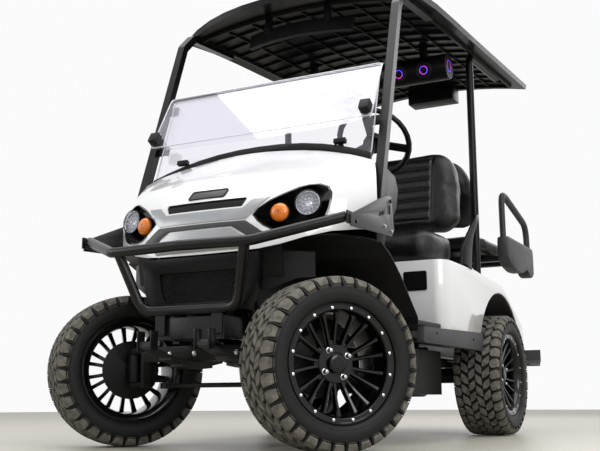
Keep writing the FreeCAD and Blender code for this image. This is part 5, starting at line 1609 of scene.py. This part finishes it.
@dataclass
class ChargePatch:
    """The flat black cover on the front of the seat pod, left blank."""

    frame: dict
    x: tuple[float, float] = (0.402, 0.508)
    z: tuple[float, float] = (0.634, 0.718)
    corner: float = 0.008

    def build(self) -> None:
        """Sets the cover on the pod's face."""
        touch = Touch(self.frame["nodes"]["rear_body"])
        found = touch.hit((sum(self.x) / 2, -0.8, sum(self.z) / 2), (0, 1, 0))
        if not found:
            return
        form = Form([Skin.DARK_PLASTIC])
        form.rings([
            [Vector((x, found[0].y - rise, z)) for x, z in self._outline(inset)]
            for rise, inset in ((-0.001, 0.0), (0.0035, 0.0), (0.0050, 0.0020))
        ])
        form.piece("charge_cover", "chassis", 30.0, "dark_plastic")

    def _outline(self, inset: float) -> list[tuple[float, float]]:
        """The cover's rounded outline, drawn in by an inset."""
        (left, right), (low, high) = self.x, self.z
        made = []
        for x, z, start in ((right, high, 0), (left, high, 90), (left, low, 180), (right, low, 270)):
            middle_x = x - math.copysign(self.corner, x - (left + right) / 2)
            middle_z = z - math.copysign(self.corner, z - (low + high) / 2)
            for step in range(5):
                turn = math.radians(start + step * 22.5)
                reach = self.corner - inset
                made.append((middle_x + reach * math.cos(turn), middle_z + reach * math.sin(turn)))
        return made


@dataclass
class ArchLiners:
    """The black liners under the pod's rear arches."""

    centre: tuple[float, float] = (0.587, 0.292)
    radius: float = 0.398
    thick: float = 0.004
    outer: float = 0.584
    inner: float = 0.395
    first: float = 32.0
    last: float = 158.0
    steps: int = 34
    rows: int = 10
    rib: float = 0.002

    def build(self) -> None:
        """Bends a ribbed sheet over each rear wheel."""
        form = Form([Skin.DARK_PLASTIC])
        middle = Vector((0, *self.centre))
        width = self.outer - self.inner
        for side in (1, -1):
            rows = [
                (side * (self.inner + width * row / self.rows), self.rib * math.cos(math.pi * row))
                for row in range(self.rows + 1)
            ]
            outline = [(x, self.radius + wave) for x, wave in rows]
            outline += [(x, self.radius + wave + self.thick) for x, wave in reversed(rows)]
            rings = []
            for step in range(self.steps + 1):
                turn = math.radians(self.first + (self.last - self.first) * step / self.steps)
                rings.append([middle + polar(x, radius, turn) for x, radius in outline])
            form.rings(rings)
        form.piece("rear_arch_liners", "chassis", 40.0, "dark_plastic")


@dataclass
class MirrorPane:
    """The silvered face of the roof mirror, toward the driver."""

    frame: dict
    half: float = 0.252
    low: float = 0.006
    high: float = 0.064

    def build(self) -> None:
        """Lays a thin bowed pane on the mirror's rear face."""
        touch = Touch(self.frame["nodes"]["roof_mirror"])
        low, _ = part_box("roof_mirror")
        form = Form([Skin.MIRROR_GLASS])
        rings = []
        for step in range(29):
            x = -self.half + 2 * self.half * step / 28
            ring = []
            for rise in (self.low, self.high):
                found = touch.hit((x, 0.0, low.z + rise), (0, -1, 0))
                if found:
                    ring += [found[0] + Vector((0, 0.0004, 0)), found[0] + Vector((0, 0.0024, 0))]
            if len(ring) == 4:
                rings.append([ring[0], ring[1], ring[3], ring[2]])
        if len(rings) > 2:
            form.rings(rings)
            form.piece("mirror_pane", "chassis", 30.0, "mirror_glass")


@dataclass
class FrontSkirts:
    """The black panels that close the nose between the lower panel and the wheel arches."""

    frame: dict
    near: float = 0.236
    far: float = 0.505
    low: float = 0.602
    high: float = 0.712
    rise: float = 0.035
    behind: float = 0.014
    steps: int = 22
    wing: Points = (
        (0.226, -1.208, 0.552), (0.270, -1.194, 0.562), (0.300, -1.181, 0.576), (0.345, -1.150, 0.597),
        (0.392, -1.108, 0.602),
    )
    wing_top: float = 0.692
    wing_thick: float = 0.004

    def build(self) -> None:
        """Follows the cowl's lower edge on its inside."""
        touch = Touch(self.frame["nodes"]["front_cowl"])
        form = Form([Skin.DARK_PLASTIC])
        for side in (1, -1):
            rings = []
            for step in range(self.steps + 1):
                share = step / self.steps
                x = self.near + (self.far - self.near) * share
                found = touch.hit((side * x, -1.8, self.high), (0, 1, 0))
                if not found:
                    continue
                front = found[0].y + self.behind
                low = self.low + self.rise * share**2.5
                middle = (low + self.high) / 2
                outline = (
                    (0.020, low), (0.024, low), (0.010, middle), (0.004, self.high), (0.0, self.high),
                    (0.006, middle),
                )
                rings.append([Vector((side * x, front + back, z)) for back, z in outline])
            form.rings(rings)
            rings = []
            for x, y, low in self.wing:
                back = y + self.wing_thick
                outline = ((y, low), (back, low), (back, self.wing_top), (y, self.wing_top))
                rings.append([Vector((side * x, *point)) for point in outline])
            form.rings(rings)
        form.piece("front_skirts", "chassis", 40.0, "dark_plastic")


@dataclass
class BadgePlate:
    """The blank plate on the nose, with a fine raised rim."""

    frame: dict
    outline: Points = ((-0.086, 0.905), (-0.079, 0.941), (0.079, 0.941), (0.074, 0.905))
    levels: Points = ((-0.001, 1.0), (0.0045, 1.0), (0.0053, 0.985), (0.0053, 0.955), (0.0039, 0.94))

    def build(self) -> None:
        """Lays the plate on the nose's skin."""
        touch = Touch(self.frame["nodes"]["front_cowl"])
        corners = loop_of([(x, 0, z) for x, z in self.outline], 0.010, 4)
        middle = middle_of(corners)
        form = Form([Skin.BADGE_BLACK])
        rings = []
        for rise, size in self.levels:
            places = [middle + (corner - middle) * size for corner in corners]
            found = [touch.hit((place.x, -1.8, place.z), (0, 1, 0)) for place in places]
            rings.append([point + normal * rise for point, normal in filter(None, found)])
        if all(len(ring) == len(corners) for ring in rings):
            form.rings(rings)
            form.piece("badge_plate", "chassis", 30.0, "grey_plastic")


@dataclass
class ArmFrames:
    """The slim moulded loops beside the rear seat on their scalloped pods, in place of the plain slabs."""

    middle: float = 0.563
    half: float = 0.032
    loop: Points = ((0.806, 1.000), (0.800, 1.243), (0.850, 1.258), (1.306, 1.160), (1.323, 1.000))
    pod: Points = (
        (0.786, 0.905), (0.780, 0.995), (0.790, 1.026), (1.336, 1.026), (1.344, 0.990),
        (1.344, 0.876), (1.290, 0.852), (1.235, 0.862), (1.190, 0.890), (1.140, 0.876),
        (1.090, 0.858), (1.020, 0.854), (0.960, 0.853), (0.905, 0.862), (0.860, 0.870),
    )
    levels: Points = ((-1.0, 0.93), (-0.86, 0.985), (-0.6, 1.0), (0.6, 1.0), (0.86, 0.985), (1.0, 0.93))

    def build(self) -> None:
        """Sweeps the loops and blends the pods under them."""
        form = Form([Skin.GREY_PLASTIC])
        for side in (1, -1):
            x = side * self.middle
            form.tube(spread([(x, y, z) for y, z in self.loop], 0.07, 6), 0.0185, 14, width=0.0155)
            points = loop_of([(0, y, z) for y, z in self.pod], 0.018, 2)
            centre = middle_of(points)
            rings = []
            for across, size in self.levels:
                shift = Vector((x + across * self.half, 0, 0))
                rings.append([centre + (point - centre) * size + shift for point in points])
            form.rings(rings)
        made = form.piece("arm_frames_dressed", "chassis", 40.0, "grey_plastic")
        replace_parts(made, "rear_arm_frames")


@dataclass
class HipArms:
    """The tapering moulded grab arms that rise from beside the front seat to the rear posts."""

    path: Points = (
        (0.579, 0.070, 0.768), (0.579, 0.082, 0.838), (0.582, 0.150, 0.940), (0.584, 0.262, 1.034),
        (0.540, 0.408, 1.064),
    )
    sizes: Points = (
        (0.0, 0.072, 0.0185), (0.12, 0.066, 0.0195), (0.25, 0.040, 0.0185), (0.4, 0.022, 0.0150),
        (0.7, 0.013, 0.0115), (1.0, 0.010, 0.0095),
    )

    def build(self) -> None:
        """Lofts an oval section that narrows toward the post."""
        form = Form([Skin.DARK_PLASTIC])
        for side in (1, -1):
            path = spread([(side * x, y, z) for x, y, z in self.path], 0.07, 6)
            runs = [0.0]
            for before, after in zip(path, path[1:]):
                runs.append(runs[-1] + (after - before).length)
            rings = []
            for index, point in enumerate(path):
                before, after = path[max(index - 1, 0)], path[min(index + 1, len(path) - 1)]
                along = (after - before).normalized()
                across = Vector((1, 0, 0))
                across = (across - along * across.dot(along)).normalized()
                up = along.cross(across)
                deep, wide = self._size(runs[index] / runs[-1])
                rings.append([
                    point + across * wide * math.cos(turn) + up * deep * math.sin(turn) for turn in turns(20)
                ])
            form.rings(rings)
        made = form.piece("hip_arms_dressed", "chassis", 45.0, "grey_plastic")
        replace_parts(made, "hip_restraints")

    def _size(self, share: float) -> tuple[float, float]:
        """The section's half depth and half width at a share of the path."""
        for (low, deep, wide), (high, next_deep, next_wide) in zip(self.sizes, self.sizes[1:]):
            if share <= high:
                part = (share - low) / (high - low)
                return deep + (next_deep - deep) * part, wide + (next_wide - wide) * part
        return self.sizes[-1][1], self.sizes[-1][2]


# Studio


@dataclass
class Studio:
    """The pale floor, the white surroundings, the soft lamps and the camera at the photo's place."""

    camera_place: tuple[float, float, float] = (1.847, -4.044, 0.176)
    yaw: float = 27.28
    pitch: float = 10.56
    roll: float = -0.26
    lens: float = 56.0
    floor_radius: float = 11.4
    sky: float = 0.5

    def build(self) -> None:
        """Makes the studio."""
        scene = bpy.context.scene
        scene.view_settings.view_transform = "Standard"
        self._camera()
        self._floor()
        self._surroundings()
        for name, place, aim, size, watts in (
            ("lamp_top", (0.3, -0.4, 4.6), (0, 0, 0.8), (5.0, 4.0), 165.0),
            ("lamp_left", (4.2, -3.2, 3.0), (0, -0.2, 0.9), (3.0, 2.4), 125.0),
            ("lamp_right", (-4.4, -3.6, 2.6), (0, -0.4, 0.8), (3.0, 2.2), 60.0),
            ("lamp_back", (0.5, 5.2, 3.4), (0, 0, 1.0), (4.0, 2.0), 70.0),
        ):
            self._lamp(name, place, aim, size, watts)

    def _camera(self) -> None:
        """Puts the camera where the photo was taken from."""
        data = bpy.data.cameras.new("camera")
        give(data, sensor_width=36.0, lens=self.lens, clip_start=0.02, clip_end=200.0)
        yaw, pitch = math.radians(self.yaw), math.radians(self.pitch)
        ahead = Vector((-math.sin(yaw) * math.cos(pitch), math.cos(yaw) * math.cos(pitch), math.sin(pitch)))
        turn = ahead.to_track_quat("-Z", "Y") @ Quaternion((0, 0, 1), math.radians(self.roll))
        camera = placed("camera", data)
        give(camera, location=self.camera_place, rotation_mode="QUATERNION", rotation_quaternion=turn)
        bpy.context.scene.camera = camera

    def _floor(self) -> None:
        """A round floor that ends where the photo's floor meets the wall."""
        reach = self.floor_radius
        points = [(reach * math.cos(turn), reach * math.sin(turn), 0.0) for turn in turns(96)]
        mesh = bpy.data.meshes.new("floor")
        mesh.from_pydata(points, [], [tuple(range(len(points)))])
        mesh.materials.append(Skin.FLOOR.look)
        placed("floor", mesh)

    def _surroundings(self) -> None:
        """White for the camera, mirrors and panes, and a plain level of light for the rest."""
        world = bpy.data.worlds.new("studio")
        world.use_nodes = True
        graph = Graph(world.node_tree)
        path = graph.node("ShaderNodeLightPath", output="Is Camera Ray")
        seen = path.most(path.also("Is Glossy Ray")).most(path.also("Is Transmission Ray"))
        light = graph.node("ShaderNodeBackground", None, {"Color": (1.0, 1.0, 1.0), "Strength": self.sky})
        white = graph.node("ShaderNodeBackground", None, {"Color": (0.965, 0.965, 0.97), "Strength": 1.0})
        shown = graph.node("ShaderNodeMixShader", None, {0: seen, 1: light, 2: white})
        graph.node("ShaderNodeOutputWorld", None, {"Surface": shown})
        bpy.context.scene.world = world

    @staticmethod
    def _lamp(name: str, place: Triple, aim: Triple, size: tuple[float, float], watts: float) -> None:
        """A soft rectangular lamp that faces a point.

        Args:
            name: the lamp's name.
            place: where it hangs.
            aim: the point that it faces.
            size: its width and height.
            watts: its power.
        """
        data = bpy.data.lights.new(name, "AREA")
        give(data, shape="RECTANGLE", size=size[0], size_y=size[1], energy=watts)
        turn = (Vector(aim) - Vector(place)).to_track_quat("-Z", "Y")
        give(placed(name, data), location=place, rotation_mode="QUATERNION", rotation_quaternion=turn)


def main() -> None:
    """Loads the frame, dresses its nodes and adds every piece."""
    logging.basicConfig(level=logging.INFO, format="%(name)s: %(message)s")
    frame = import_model()
    corners = ("front_left", "front_right", "rear_left", "rear_right")
    for part in (
        Studio(), NodeDressing(frame), *(RoadWheel(corner, frame) for corner in corners), Upholstery(),
        Lamps(), SoundRings(), RoofRibs(frame), PaneEdges(frame), Fasteners(frame), FasciaMesh(frame),
        ChargePatch(frame), ArchLiners(), MirrorPane(frame), FrontSkirts(frame), BadgePlate(frame),
        ArmFrames(), HipArms(),
    ):
        part.build()


if __name__ == "__main__":
    main()
